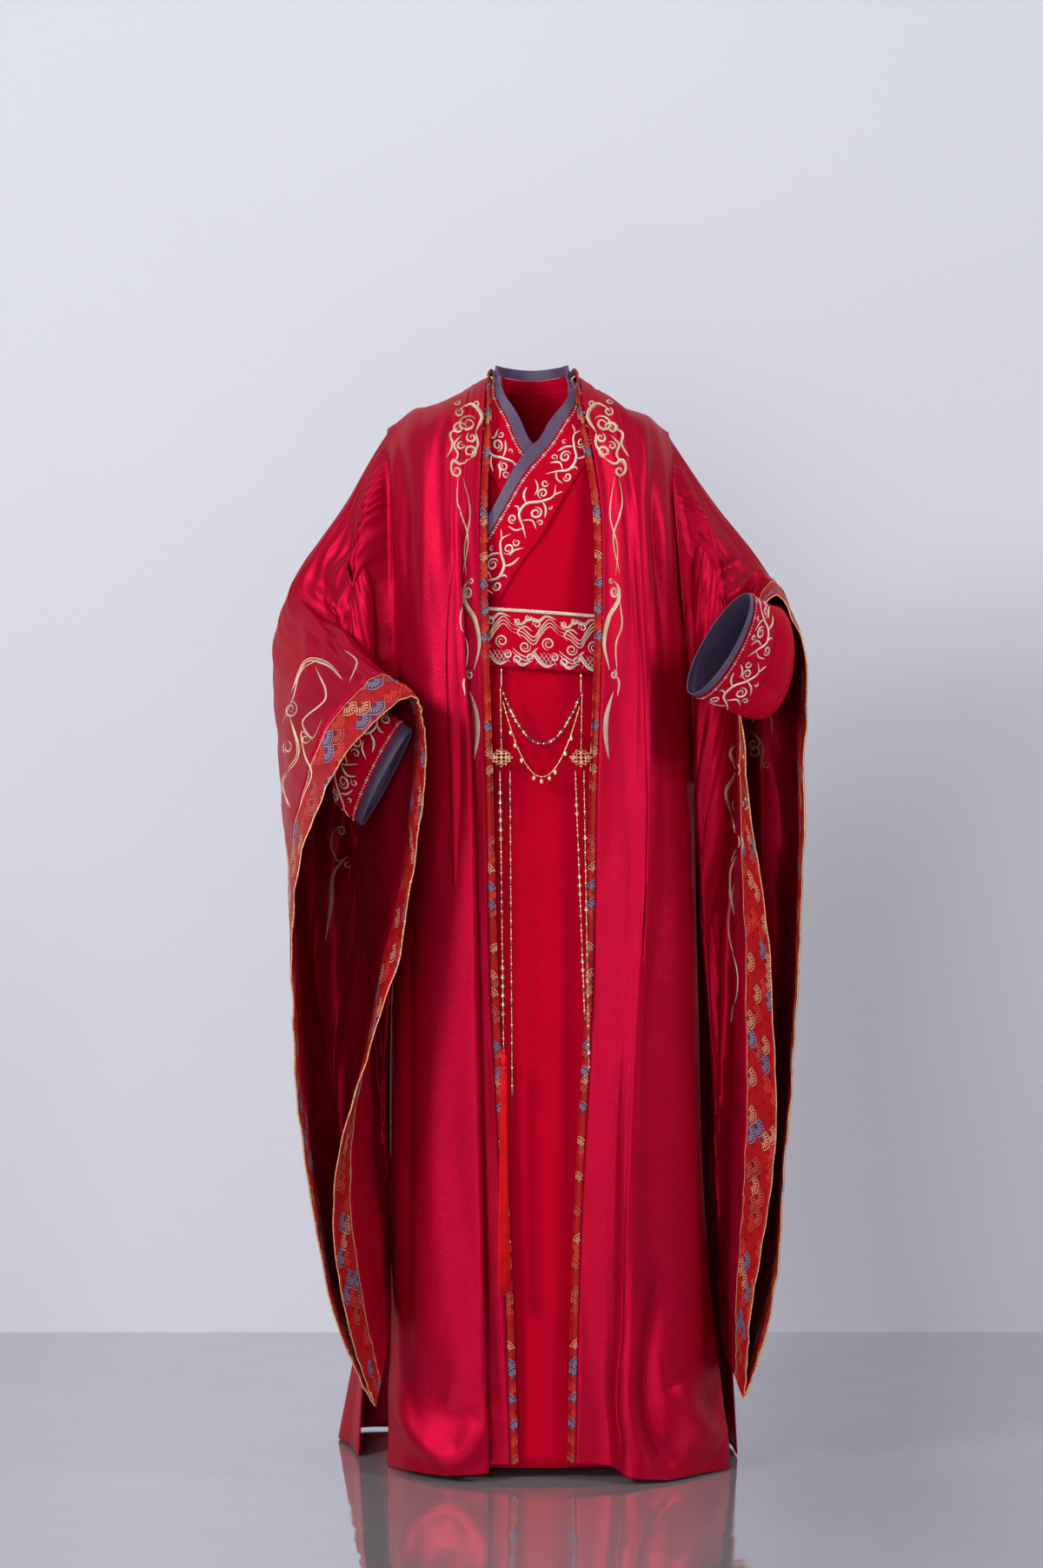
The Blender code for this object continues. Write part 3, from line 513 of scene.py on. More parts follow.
def surface(sections, across, along):
    """Grid of points [along][across] through sections, each a row of points across."""
    rows = smooth(np.swapaxes(np.asarray(sections, float), 0, 1), across)
    return smooth(np.swapaxes(rows, 0, 1), along)


def normals(grid, closed=False):
    """Unit normals of a grid of points, along cross across."""
    if closed:
        across = np.roll(grid, -1, axis=1) - np.roll(grid, 1, axis=1)
    else:
        across = np.gradient(grid, axis=1)
    n = np.cross(np.gradient(grid, axis=0), across)
    return n / (np.linalg.norm(n, axis=-1, keepdims=True) + 1e-9)


CREASE_STEPS = 12        # straight lengths that each crease is measured against
DEEPER = 1.1             # how much deeper than in the tables the creases are


def pressed(grid, away, creases):
    """Moves cloth out along its creases: (points x z down the crease, half width, height, face).

    A crease swells in from both ends; face is -1 on the front of the garment and 1 on its back.
    """
    moved = np.zeros(grid.shape[:2])
    flat = grid[..., (0, 2)]
    for points, half, high, face in creases:
        line = smooth(np.array(points, float), np.linspace(0, len(points) - 1, CREASE_STEPS + 1))
        near, at = np.full(grid.shape[:2], 1e9), np.zeros(grid.shape[:2])
        for k, (spot, after) in enumerate(zip(line, line[1:])):
            way = after - spot
            share = np.clip((flat - spot) @ way / (way @ way), 0, 1)
            gap = np.linalg.norm(flat - spot - share[..., None] * way, axis=-1)
            at = np.where(gap < near, (k + share) / CREASE_STEPS, at)
            near = np.minimum(near, gap)
        swell = np.sin(np.pi * np.clip(at, 0.02, 0.98)) ** 0.6
        facing = np.clip(0.2 + 1.6 * away[..., 1] * face, 0, 1)
        moved += high * np.exp(-(near / half) ** 2) * swell * facing * DEEPER
    return grid + away * moved[..., None]


def rippled(grid, away, high, width, seed):
    """Uneven long folds down a grid: waves of about the given width that wander, swell and fade."""
    rng = np.random.default_rng(seed)
    whole = np.linalg.norm(np.diff(grid, axis=1), axis=-1).sum(1).mean()
    share = np.arange(grid.shape[1]) / grid.shape[1]
    v = np.cumsum(np.linalg.norm(np.diff(grid, axis=0, prepend=grid[:1]), axis=-1), axis=0)
    total = np.zeros(grid.shape[:2])
    for k in range(5):
        count = round(whole / (width * rng.uniform(0.6, 2.2)))
        wander, swell = (np.sin(v / rng.uniform(150, 420) + rng.uniform(0, 6)) for _ in range(2))
        wave = np.sin(math.pi * count * share + 1.6 * wander + rng.uniform(0, 6))
        total += (1 - 2 * np.abs(wave) ** 0.8) * (0.35 + 0.65 * np.abs(swell)) * high / 3
    return grid + away * total[..., None]


def lengths(grid):
    """Distances in metres down the middle of a grid, and across it."""
    over = np.linalg.norm(np.diff(grid, axis=1), axis=-1).mean(0)
    return run_of(grid[:, grid.shape[1] // 2]) * MM, np.concatenate([[0], np.cumsum(over)]) * MM


def ringed(*grids):
    """Grids with their first column again at the end, which closes them round a tube."""
    return [np.concatenate([grid, grid[:, :1]], axis=1) for grid in grids]


def cloth(name, grid, away, paint, nodes, thick, closed=False):
    """A panel of cloth: a bmesh grid laid on the points, with its weave in its own UV map, in metres.

    Solidify gives it its wall, on the side that away points from.
    """
    if closed:
        grid, away = ringed(grid, away)
    down, over = lengths(grid)
    along, across = grid.shape[:2]
    bm = bmesh.new()
    verts = bmesh.ops.create_grid(bm, x_segments=across - 1, y_segments=along - 1, size=1)["verts"]
    uv = bm.loops.layers.uv.new("cut")
    j = np.rint((np.array([v.co.x for v in verts]) + 1) / 2 * (across - 1)).astype(int)
    i = np.rint((np.array([v.co.y for v in verts]) + 1) / 2 * (along - 1)).astype(int)
    spots = grid[i, j] * MM
    for v, spot in zip(verts, spots):
        v.co = spot
    place_uv = {v: (over[b], down[a]) for v, a, b in zip(verts, i, j)}
    for face in bm.faces:
        for loop in face.loops:
            loop[uv].uv = place_uv[loop.vert]
    bm.normal_update()
    outwards = sum(v.normal.dot(Vector(away[a, b])) for v, a, b in zip(verts[::37], i[::37], j[::37]))
    if outwards < 0:
        bmesh.ops.reverse_faces(bm, faces=bm.faces)
    if closed:
        bmesh.ops.remove_doubles(bm, verts=bm.verts, dist=1e-6)
    area = sum(face.calc_area() for face in bm.faces)
    made = piece(name, bm, (paint,), nodes)
    wall = made.modifiers.new("wall", "SOLIDIFY")
    wall.thickness = thick * MM
    wall.offset = -1
    wide = float(np.linalg.norm(np.diff(grid, axis=1), axis=-1).sum(1).mean()) * MM
    tall = max(float(np.linalg.norm(np.diff(grid, axis=0), axis=-1).sum(0).mean()) * MM, area / wide)


def front_row(row):
    """Seven points across the front, from the edge to the side."""
    r = dict(zip(FRONT_COLUMNS, row))
    tucked = min(1.0, r["tuck"] / 12)
    behind = r["fold"] + r["tuck"]
    near, far = r["edge"] + (r["fold"] - r["edge"]) * 0.45, r["edge"] + (r["fold"] - r["edge"]) * 0.8
    middle_y = (r["edge_y"] + r["fold_y"]) / 2
    z_fold = r["z_edge"] + (r["z_mid"] - r["z_edge"]) * 0.5
    z_near, z_far = r["z_edge"] + (z_fold - r["z_edge"]) * 0.4, r["z_edge"] + (z_fold - r["z_edge"]) * 0.8
    z_corner = r["z_mid"] * 0.75 + r["z_side"] * 0.25
    main = (r["fold"] + r["corner"]) / 2
    return [
        (r["edge"], r["edge_y"], r["z_edge"]),
        (near + (behind - near) * tucked, middle_y + (r["edge_y"] + 2 - middle_y) * tucked, z_near),
        (far + (behind + 5 - far) * tucked, r["fold_y"] + (middle_y - r["fold_y"]) * tucked, z_far),
        (r["fold"], r["fold_y"], z_fold),
        (main, (r["fold_y"] + r["corner_y"]) / 2 - 16, r["z_mid"]),
        (r["corner"], r["corner_y"], z_corner),
        (r["side"], r["side_y"], r["z_side"])]


def back_row(row):
    """Seven points across the back, on a quarter of an ellipse, flared towards its corner."""
    out, y, z, side, side_y, side_z, flare = row
    points = []
    for i in range(ACROSS_POINTS):
        turn = math.pi / 2 * i / (ACROSS_POINTS - 1)
        wide, deep = math.sin(turn), math.cos(turn)
        spread = flare * math.sin(2 * turn) ** 2
        points.append((out + (side - out) * wide + spread, side_y + (y - side_y) * deep + spread * 0.6,
                       z + (side_z - z) * wide ** 1.3))
    return points


BODY = {}
for side, front, back in ((-1, FRONT_LEFT, BACK_LEFT), (1, FRONT_RIGHT, BACK_RIGHT)):
    BODY[side] = np.array([front_row(r) for r in front] + [back_row(r) for r in back]) * (side, 1, 1)

# creases of the satin, on each side: points down each, half its width, how far it stands out
CREASES = {
    -1: (
        (((-193, -72), (-192, -239), (-196, -405)), 7, 6, -1),
        (((-206, -80), (-203, -190), (-202, -288)), 6, -8, -1),
        (((-178, -93), (-178, -215), (-183, -330)), 7, -8, -1),
        (((-219, -105), (-235, -190), (-253, -288)), 15, 9, -1),
        (((-215, -178), (-253, -215), (-290, -239)), 12, -7, -1),
        (((-265, -142), (-302, -215), (-338, -270)), 10, 4, -1),
        (((-341, -280), (-300, -312), (-281, -352), (-268, -388)), 7, -10, -1),
        (((-326, -276), (-276, -312), (-258, -366)), 10, 9, -1),
        (((-322, -318), (-318, -362), (-316, -400)), 5, 3, -1),
        (((-304, -320), (-300, -360), (-304, -392)), 5, -4, -1),
        (((-330, -420), (-338, -520), (-330, -610)), 12, 5, -1),
        (((-198, -520), (-199, -900), (-197, -1280)), 12, 10, -1),
        (((-219, -560), (-220, -900), (-213, -1240)), 9, -9, -1),
        (((-170, -430), (-172, -900), (-175, -1400)), 8, -6, -1),
        (((-137, -190), (-143, -700), (-148, -1290)), 22, 4, -1),
        (((-112, -20), (-114, -150), (-112, -330)), 7, -6, -1),
        (((-150, -60), (-150, -200), (-154, -420)), 9, 3, -1),
        (((-196, -1410), (-160, -1478), (-112, -1506), (-64, -1452)), 17, 11, -1),
        (((-150, -1330), (-124, -1440), (-76, -1420)), 26, -9, -1),
        (((-240, -640), (-262, -780), (-256, -980)), 14, -9, -1),
        (((-60, -120), (-70, -700), (-90, -1500)), 26, 10, 1),
        (((-118, -160), (-128, -800), (-160, -1500)), 18, -12, 1),
        (((-160, -90), (-178, -500), (-230, -1500)), 16, 11, 1),
        (((-24, -260), (-30, -900), (-36, -1500)), 14, -8, 1),
        (((-196, -110), (-240, -230), (-300, -330)), 14, 8, 1),
        (((-214, -150), (-246, -420), (-250, -800)), 15, -9, 1),
        (((-262, -250), (-290, -560), (-280, -1000)), 16, 9, 1),
        (((-312, -300), (-322, -600), (-306, -960)), 12, -7, 1)),
    1: (
        (((167, -70), (168, -190), (181, -312), (192, -470)), 9, -10, -1),
        (((150, -60), (153, -215), (157, -400)), 15, 6, -1),
        (((197, -120), (205, -261), (223, -370)), 9, -9, -1),
        (((183, -100), (190, -239), (208, -420)), 8, 8, -1),
        (((120, -40), (124, -200), (128, -420)), 12, 4, -1),
        (((317, -256), (284, -288), (247, -300)), 8, 9, -1),
        (((302, -236), (260, -262), (232, -300)), 8, -7, -1),
        (((216, -118), (260, -200), (302, -246)), 11, 5, -1),
        (((210, -140), (232, -215), (256, -272)), 10, -7, -1),
        (((322, -246), (336, -262), (342, -290)), 6, 5, -1),
        (((330, -262), (318, -285), (322, -310)), 5, -5, -1),
        (((166, -520), (164, -900), (168, -1400)), 24, -9, -1),
        (((206, -520), (214, -900), (232, -1400)), 18, 8, -1),
        (((128, -480), (130, -900), (126, -1480)), 20, 4, -1),
        (((236, -420), (246, -800), (250, -1180)), 10, -9, -1),
        (((186, -1240), (160, -1390), (170, -1470), (206, -1520)), 14, -14, -1),
        (((196, -1400), (226, -1462), (266, -1500)), 20, 14, -1),
        (((134, -1330), (136, -1440), (168, -1505)), 18, 9, -1),
        (((300, -520), (298, -760), (296, -1100)), 9, 6, -1),
        (((284, -560), (280, -800), (286, -1180)), 9, -6, -1),
        (((58, -120), (66, -700), (84, -1500)), 26, -10, 1),
        (((110, -150), (122, -800), (150, -1500)), 20, 12, 1),
        (((158, -90), (182, -500), (222, -1500)), 16, -11, 1),
        (((22, -260), (26, -900), (34, -1500)), 13, 8, 1),
        (((196, -110), (240, -210), (300, -300)), 14, 8, 1),
        (((226, -150), (258, -420), (262, -900)), 14, -9, 1),
        (((286, -240), (302, -560), (292, -1100)), 16, 9, 1),
        (((330, -260), (338, -600), (322, -1000)), 12, -8, 1))}

# satin: a long glossy float in the threads, with a fine slubby grain across the cloth
CREPE, given, gives = group(
    "crepe_grain", (("Vector", VECTOR, None), ("Fine", FLOAT, 1.0)), (("Height", FLOAT), ("Shade", FLOAT)))
long = node(CREPE, "ShaderNodeMapping", {"Vector": given["Vector"], "Scale": (180, 180, 1500)})
short = node(CREPE, "ShaderNodeMapping", {"Vector": given["Vector"], "Scale": (700, 700, 2600)})
slub = node(CREPE, "ShaderNodeTexNoise", {"Vector": long.outputs[0], "Scale": 1.0, "Detail": 2.0})
float_ = node(CREPE, "ShaderNodeTexNoise", {"Vector": short.outputs[0], "Scale": 1.0, "Detail": 1.0})
both = node(CREPE, "ShaderNodeMath", {0: slub.outputs["Fac"], 1: float_.outputs["Fac"]}, operation="ADD")
fine = node(CREPE, "ShaderNodeMath", {0: both.outputs[0], 1: given["Fine"]}, operation="MULTIPLY")
tone = node(CREPE, "ShaderNodeMapRange", {"Value": both.outputs[0], "From Min": 0.6, "From Max": 1.4,
                                          "To Min": 0.86, "To Max": 1.14})
CREPE.links.new(fine.outputs[0], gives["Height"])
CREPE.links.new(tone.outputs[0], gives["Shade"])


def grained(material, kind, strength, distance, uv=False, **values):
    """Adds a weave group's height as bump and its shade to the colour."""
    tree = material.node_tree
    shader = tree.nodes["Principled BSDF"]
    spot = node(tree, "ShaderNodeTexCoord").outputs["UV" if uv else "Object"]
    weave = node(tree, "ShaderNodeGroup", node_tree=kind)
    tree.links.new(spot, weave.inputs["Vector"])
    for key, value in values.items():
        weave.inputs[key].default_value = value
    bump = node(tree, "ShaderNodeBump", {"Strength": strength, "Distance": distance,
                                         "Height": weave.outputs["Height"]})
    tree.links.new(bump.outputs["Normal"], shader.inputs["Normal"])
    flat = node(tree, "ShaderNodeVectorMath", {1: weave.outputs["Shade"]}, operation="MULTIPLY")
    flat.inputs[0].default_value = shader.inputs["Base Color"].default_value[:3]
    tree.links.new(flat.outputs[0], shader.inputs["Base Color"])


satin = finish("crimson_satin", (0.38, 0.0014, 0.022), 0.40, 0.50, Specular_IOR_Level=0.5,
               Specular_Tint=(1, 0.10, 0.20, 1))
grained(satin, CREPE, 0.5, 0.0004)
shaded(satin, 9.0, 0.93, 1.07)
shaded(satin, 14.0, 0.88, 1.14, "Roughness")

# brocade: overlapping fans with ribs, woven in gold, salmon, cream and violet on red
FANS, given, gives = group("fan_brocade", (("Vector", VECTOR, None), ("Fan", FLOAT, 0.026)),
                           (("Color", "NodeSocketColor"), ("Height", FLOAT), ("Gold", FLOAT)))


def calc(operation, *values):
    return node(FANS, "ShaderNodeMath", dict(enumerate(values)), operation=operation).outputs[0]


parts = node(FANS, "ShaderNodeSeparateXYZ", {0: given["Vector"]}).outputs
wide = calc("DIVIDE", parts[0], given["Fan"])
tall = calc("DIVIDE", parts[1], given["Fan"])
ROW, REACH = 0.46, 0.56                 # height of a row of fans and their radius, in fan widths
fans = []
for behind in (1, 0):                   # the row below overlaps this one
    row = calc("SUBTRACT", calc("FLOOR", calc("DIVIDE", tall, ROW)), float(behind))
    half = calc("FRACT", calc("MULTIPLY", row, 0.5))
    column = calc("ADD", calc("ROUND", calc("SUBTRACT", wide, half)), half)
    dx = calc("SUBTRACT", wide, column)
    dy = calc("SUBTRACT", tall, calc("MULTIPLY", row, ROW))
    square = calc("ADD", calc("MULTIPLY", dx, dx), calc("MULTIPLY", dy, dy))
    reach = calc("DIVIDE", calc("SQRT", square), REACH)
    own = node(FANS, "ShaderNodeCombineXYZ", {0: column, 1: row}).outputs[0]
    chance = node(FANS, "ShaderNodeTexWhiteNoise", {"Vector": own}, noise_dimensions="2D").outputs["Value"]
    fans.append((reach, calc("ARCTAN2", dy, dx), chance, calc("LESS_THAN", reach, 1.0)))
over = fans[0][3]
reach, turn, chance = (calc("ADD", calc("MULTIPLY", fans[0][k], over),
                            calc("MULTIPLY", fans[1][k], calc("SUBTRACT", 1.0, over))) for k in range(3))
ribs = calc("GREATER_THAN", calc("SINE", calc("MULTIPLY", turn, 17.0)), 0.1)
ribs = calc("MULTIPLY", ribs, calc("GREATER_THAN", reach, 0.30))
ribs = calc("MULTIPLY", ribs, calc("LESS_THAN", calc("ADD", reach, calc("MULTIPLY", chance, 0.1)), 0.88))
rim = calc("MULTIPLY", calc("GREATER_THAN", reach, 0.93), calc("LESS_THAN", reach, 1.0))
thread = calc("MAXIMUM", ribs, rim)
ramps = []
for stops in (((0, (0.30, 0.002, 0.008)), (0.40, (0.27, 0.003, 0.008)), (0.62, (0.20, 0.006, 0.008)),
               (0.76, (0.20, 0.003, 0.012)), (0.88, (0.07, 0.028, 0.070))),
              ((0, (0.42, 0.012, 0.014)), (0.40, (0.60, 0.060, 0.034)), (0.62, (0.70, 0.34, 0.20)),
               (0.76, (0.52, 0.10, 0.07)), (0.88, (0.30, 0.22, 0.32)))):
    ramp = node(FANS, "ShaderNodeValToRGB", {0: chance})
    ramp.color_ramp.interpolation = "CONSTANT"
    for k, (at, colour) in enumerate(stops):
        stop = ramp.color_ramp.elements[k] if k < 2 else ramp.color_ramp.elements.new(at)
        stop.position, stop.color = at, (*colour, 1)
    ramps.append(ramp.outputs[0])
woven = node(FANS, "ShaderNodeMix", {0: thread, 6: ramps[0], 7: ramps[1]}, data_type="RGBA").outputs[2]
FANS.links.new(woven, gives["Color"])
FANS.links.new(thread, gives["Height"])
FANS.links.new(calc("MULTIPLY", thread, 0.12), gives["Gold"])


def fanned(name, fan):
    """A brocade of fans on the piece's own UV map."""
    made = finish(name, (0.5, 0.05, 0.03), 0.55, Specular_IOR_Level=0.25, Specular_Tint=(1, 0.5, 0.3, 1))
    tree = made.node_tree
    shader = tree.nodes["Principled BSDF"]
    spot = node(tree, "ShaderNodeTexCoord").outputs["UV"]
    weave = node(tree, "ShaderNodeGroup", node_tree=FANS)
    tree.links.new(spot, weave.inputs["Vector"])
    weave.inputs["Fan"].default_value = fan
    tree.links.new(weave.outputs["Color"], shader.inputs["Base Color"])
    tree.links.new(weave.outputs["Gold"], shader.inputs["Metallic"])
    fine = node(tree, "ShaderNodeTexNoise", {"Vector": spot, "Scale": 2200.0, "Detail": 1.0})
    high = node(tree, "ShaderNodeMath", {0: fine.outputs["Fac"], 1: 0.5, 2: weave.outputs["Height"]},
                operation="MULTIPLY_ADD")
    bump = node(tree, "ShaderNodeBump", {"Strength": 0.5, "Distance": 0.0004, "Height": high.outputs[0]})
    tree.links.new(bump.outputs["Normal"], shader.inputs["Normal"])
    shaded(made, 40.0, 0.85, 1.12)
    return made


brocade = fanned("fan_brocade", 0.027)

satin_faces = {}
for side, name in ((-1, "left"), (1, "right")):
    grid = surface(BODY[side], BODY_COLUMNS, BODY_ROWS)
    behind = BODY_ROWS > SHOULDER + 1       # neither half passes the seam down the back
    grid[behind, :, 0] = side * np.maximum(side * grid[behind, :, 0], SEAM / 2)
    grid[BODY_ROWS >= SHOULDER + 2, 0, 0] = side * SEAM / 2
    away = normals(grid) * side             # into the body, so a crease is pressed the other way
    grid = rippled(pressed(grid, -away, CREASES[side]), away, 1.6, 46, 3 + side)
    grid[behind, :, 0] = side * np.maximum(side * grid[behind, :, 0], SEAM / 2)
    grid[..., 2] = np.maximum(grid[..., 2], FLOOR_Z / MM + 1)
    away = normals(grid) * side
    cloth("satin_body_" + name, grid, away, satin, ("outer_body_" + name,), SATIN)
    satin_faces["body_" + name] = (grid, away)
    # the brocade band carries the front edge on, and stands up round the neck
    rows = BODY_ROWS <= SHOULDER + 1.9
    edge = grid[rows, 0]
    own = edge - grid[rows, 3]
    own /= np.linalg.norm(own, axis=-1, keepdims=True)
    lift = np.clip((BODY_ROWS[rows] - 5.4) / 1.2, 0, 1)[:, None]
    clear = np.clip(BODY_ROWS[rows] - 4.6, 0, 1)[:, None]
    inwards = own * (1 - lift) + np.array((-side * 0.03, -0.1, 0.99)) * lift
    inwards[:, 0] = np.where(edge[:, 0] * side > 20, inwards[:, 0], 0)
    inwards /= np.linalg.norm(inwards, axis=-1, keepdims=True)
    start = edge + own * (SEAM + clear * BROCADE)
    band = np.stack([start + inwards * BAND_WIDE * t for t in (1, 0.94, 0.5, 0.06, 0)], axis=1)
    facing = normals(band) * side
    band = band + facing * np.array((-0.5, 0.1, 0.3, 0.1, -0.4))[:, None]
    cloth("band_" + name, band, facing, brocade, ("outer_band_" + name,), BROCADE)

# ---------------------------------------------------------------- outer robe, sleeves
# Very wide sleeves of the same satin hang as long loops from the arms, which are held forward.
# Each mouth has a double border of the fan brocade, with a thin gold piping along its edge.
BORDER_WIDE = 58.0
PIPING = 1.6
LOOP_HEIGHTS = (0.05, 0.2, 0.45, 0.7, 0.92)
SLEEVE_LEFT = (
    ((-285, 20, -180), (-214, -10, -900), (-0.45, 0.89), (40, 66, 76, 70, 40),
     (0.45, -0.89), (48, 72, 76, 66, 34)),
    ((-318, 26, -224), (-214, -24, -1120), (-0.75, 0.66), (42, 66, 86, 84, 48),
     (0.55, -0.83), (50, 60, 46, 34, 18)),
    ((-338, 26, -258), (-206, -34, -1296), (-0.92, 0.39), (36, 58, 64, 58, 31),
     (0.80, -0.60), (66, 64, 50, 34, 14)),
    ((-272, -104, -350), (-206, -80, -1345), (-0.95, -0.30), (50, 90, 93, 78, 44),
     (0.85, -0.30), (62, 58, 24, 2, 4)),
    ((-159, -235, -440), (-217, -170, -1418), (-0.85, -0.52), (80, 160, 163, 120, 50),
     (0.85, 0.52), (22, 18, -30, -82, -34)))
SLEEVE_RIGHT = (
    ((268, 20, -158), (262, 20, -900), (0.45, 0.89), (40, 66, 70, 62, 34),
     (-0.40, -0.92), (52, 72, 70, 60, 32)),
    ((308, 26, -208), (272, 20, -1180), (0.75, 0.66), (42, 64, 74, 66, 38),
     (-0.40, -0.92), (52, 66, 52, 42, 24)),
    ((337, 28, -250), (282, 10, -1387), (0.92, 0.39), (38, 56, 66, 64, 38),
     (-0.45, -0.89), (66, 68, 50, 42, 22)),
    ((344, -62, -270), (290, -52, -1405), (0.97, 0.10), (34, 48, 58, 54, 34),
     (-0.75, -0.66), (56, 56, 28, 14, 12)),
    ((340, -145, -294), (298, -110, -1421), (0.97, -0.24), (36, 50, 54, 46, 28),
     (-0.97, 0.24), (44, 36, -8, -26, 0)))


def loop(row):
    """Twelve points round one ring: the top, down the back layer, the foot, up the front."""
    top, foot, back_way, back, front_way, front = row
    top, foot = np.array(top, float), np.array(foot, float)
    chord = [top + (foot - top) * h for h in LOOP_HEIGHTS]
    behind = [c + np.array((*back_way, 0)) * d for c, d in zip(chord, back)]
    before = [c + np.array((*front_way, 0)) * d for c, d in zip(chord, front)]
    return np.array([top] + behind + [foot] + before[::-1])


def armhole(side):
    """The body's armhole edge as a ring of points: down the back from the shoulder, up the front."""
    back = surface(BODY[side], np.array([6.0]), np.linspace(SHOULDER, UNDERARM_BACK, 13))
    front = surface(BODY[side], np.array([6.0]), np.linspace(UNDERARM_FRONT, SHOULDER, 13))
    return np.concatenate([back[:-1], [(back[-1] + front[0]) / 2], front[1:-1]])[:, 0]


def sleeve_grid(side, table, steps, along):
    """Rings of the outer sleeve from the armhole to the mouth."""
    edge = armhole(side)
    over = np.cos(np.linspace(0, 2 * math.pi, len(edge), endpoint=False))[:, None]
    way = np.array((side * 0.98, 0, -0.2)) + np.array((-side * 0.42, 0, -0.62)) * np.clip(over, 0, 1)
    way /= np.linalg.norm(way, axis=-1, keepdims=True)
    rings = np.array([(edge + way * SEAM)[::2], (edge + way * 16)[::2]] + [loop(r) for r in table])
    wrapped = np.concatenate([rings[:, -2:], rings, rings[:, :3]], axis=1)
    return surface(wrapped, np.arange(12 * steps) / steps + 2, along)


def piped(name, line, thick, paint, closed=True, sides=6):
    """A thin round piping along a line of points, swept with a bmesh tube."""
    bm = bmesh.new()
    count = len(line)
    edges, first = None, None
    for k in range(count):
        if closed:
            way = line[(k + 1) % count] - line[k - 1]
        else:
            way = line[min(k + 1, count - 1)] - line[max(k - 1, 0)]
        turn = Vector(way).to_track_quat("Z", "Y").to_matrix()
        if k == 0:
            ring = bmesh.ops.create_circle(bm, segments=sides, radius=1, cap_ends=not closed)["verts"]
            edges = list({e for v in ring for e in v.link_edges})
            first = edges
        else:
            ring, edges = next_ring(bm, edges)
        for j, v in enumerate(ring):
            a = j * 2 * math.pi / sides
            v.co = (Vector(line[k]) + turn @ Vector((math.cos(a), math.sin(a), 0)) * thick / 2) * MM
    if closed:
        bmesh.ops.bridge_loops(bm, edges=edges + first)
    else:
        bmesh.ops.holes_fill(bm, edges=edges, sides=sides)
    bmesh.ops.recalc_face_normals(bm, faces=bm.faces)
    return piece(name, bm, (paint,))


cord_gold = finish("gold_thread", (0.72, 0.44, 0.20), 0.42, 0.55)
shaded(cord_gold, 220.0, 0.65, 1.25)
for side, name, table in ((-1, "left", SLEEVE_LEFT), (1, "right", SLEEVE_RIGHT)):
    last = len(table) + 1
    ends = sleeve_grid(side, table, 4, np.array([last - 0.01, last]))
    reach = np.linalg.norm(ends[1] - ends[0], axis=-1).mean() * 100
    seam = last - BORDER_WIDE / reach
    along = np.concatenate([np.linspace(0, seam, 78), np.linspace(seam + SEAM / reach, last, 14)])
    grid = sleeve_grid(side, table, 22, along)
    away = normals(grid, closed=True) * side
    fade = np.clip(np.linspace(0, 6, len(along)), 0, 1)[:, None, None]
    folded = rippled(pressed(grid, away, CREASES[side]), away, 2.2, 60, 8 + side)
    grid = grid + (folded - grid) * fade
    away = normals(grid, closed=True) * side
    away[78] = away[77]
    cloth("sleeve_border_fans_" + name, grid[78:], away[78:], brocade, ("sleeve_border_" + name,),
          BROCADE, closed=True)
    cloth("satin_sleeve_" + name, grid[:78], away[:78], satin, ("outer_sleeve_" + name,), SATIN,
          closed=True)
    satin_faces["sleeve_" + name] = (grid, away)
    rim = grid[-1] - away[-1] * BROCADE / 2
    piped("mouth_piping_" + name, rim + (grid[-1] - grid[-2]) * 0.08, PIPING, cord_gold)
    piped("seam_piping_" + name, grid[78] + away[78] * 0.3, 0.9, cord_gold)


# ---------------------------------------------------------------- inner robe, body
# A matt crimson wool robe, its left lap crossed over its right and bound in by the belt.
WOOL = 2.0
FIGURE = (      # z, wide, front, back
    (46, 47, 43, 50), (20, 52, 48, 56), (0, 74, 60, 63), (-20, 106, 76, 71), (-40, 144, 88, 78),
    (-64, 180, 97, 83), (-120, 180, 110, 90), (-200, 170, 115, 95), (-320, 157, 110, 96),
    (-400, 160, 108, 99), (-600, 166, 105, 108), (-900, 170, 101, 118), (-1200, 174, 97, 128),
    (-1560, 180, 91, 140))
ROUND = 2.3             # how square each section is: 2 would be an ellipse
OVER_LAP = (
    (42, 8, 2, -66, 0), (78, -36, 14, -120, 0), (90, -82, 14, -180, 0), (99, -138, 12, -212, 0),
    (110, -196, 2, -240, 0),
    (136, -304, 1, -316, 0), (150, -420, 1, -410, 0), (152, -650, 1, -650, 0),
    (152, -900, 1, -900, 0), (152, -1220, 1, -1220, 0), (152, -1522, 1, -1522, 0))
UNDER_LAP = (
    (138, 8, 178, -66, 0), (102, -36, 166, -120, 4), (90, -88, 166, -180, 10),
    (68, -196, 177, -240, 10), (48, -304, 176, -316, 10), (46, -420, 176, -410, 10),
    (46, -650, 176, -650, 10), (46, -1100, 176, -1100, 10), (46, -1516, 176, -1516, 10))
BACK_LEVELS = ((12, 4), (-8, 4), (-34, 4), (-72, 4), (-120, 14), (-180, 14), (-240, 2), (-320, 1),
               (-600, 1), (-900, 1), (-1200, 1), (-1522, 1))       # z, turn past the side
LAP_STEPS = 44


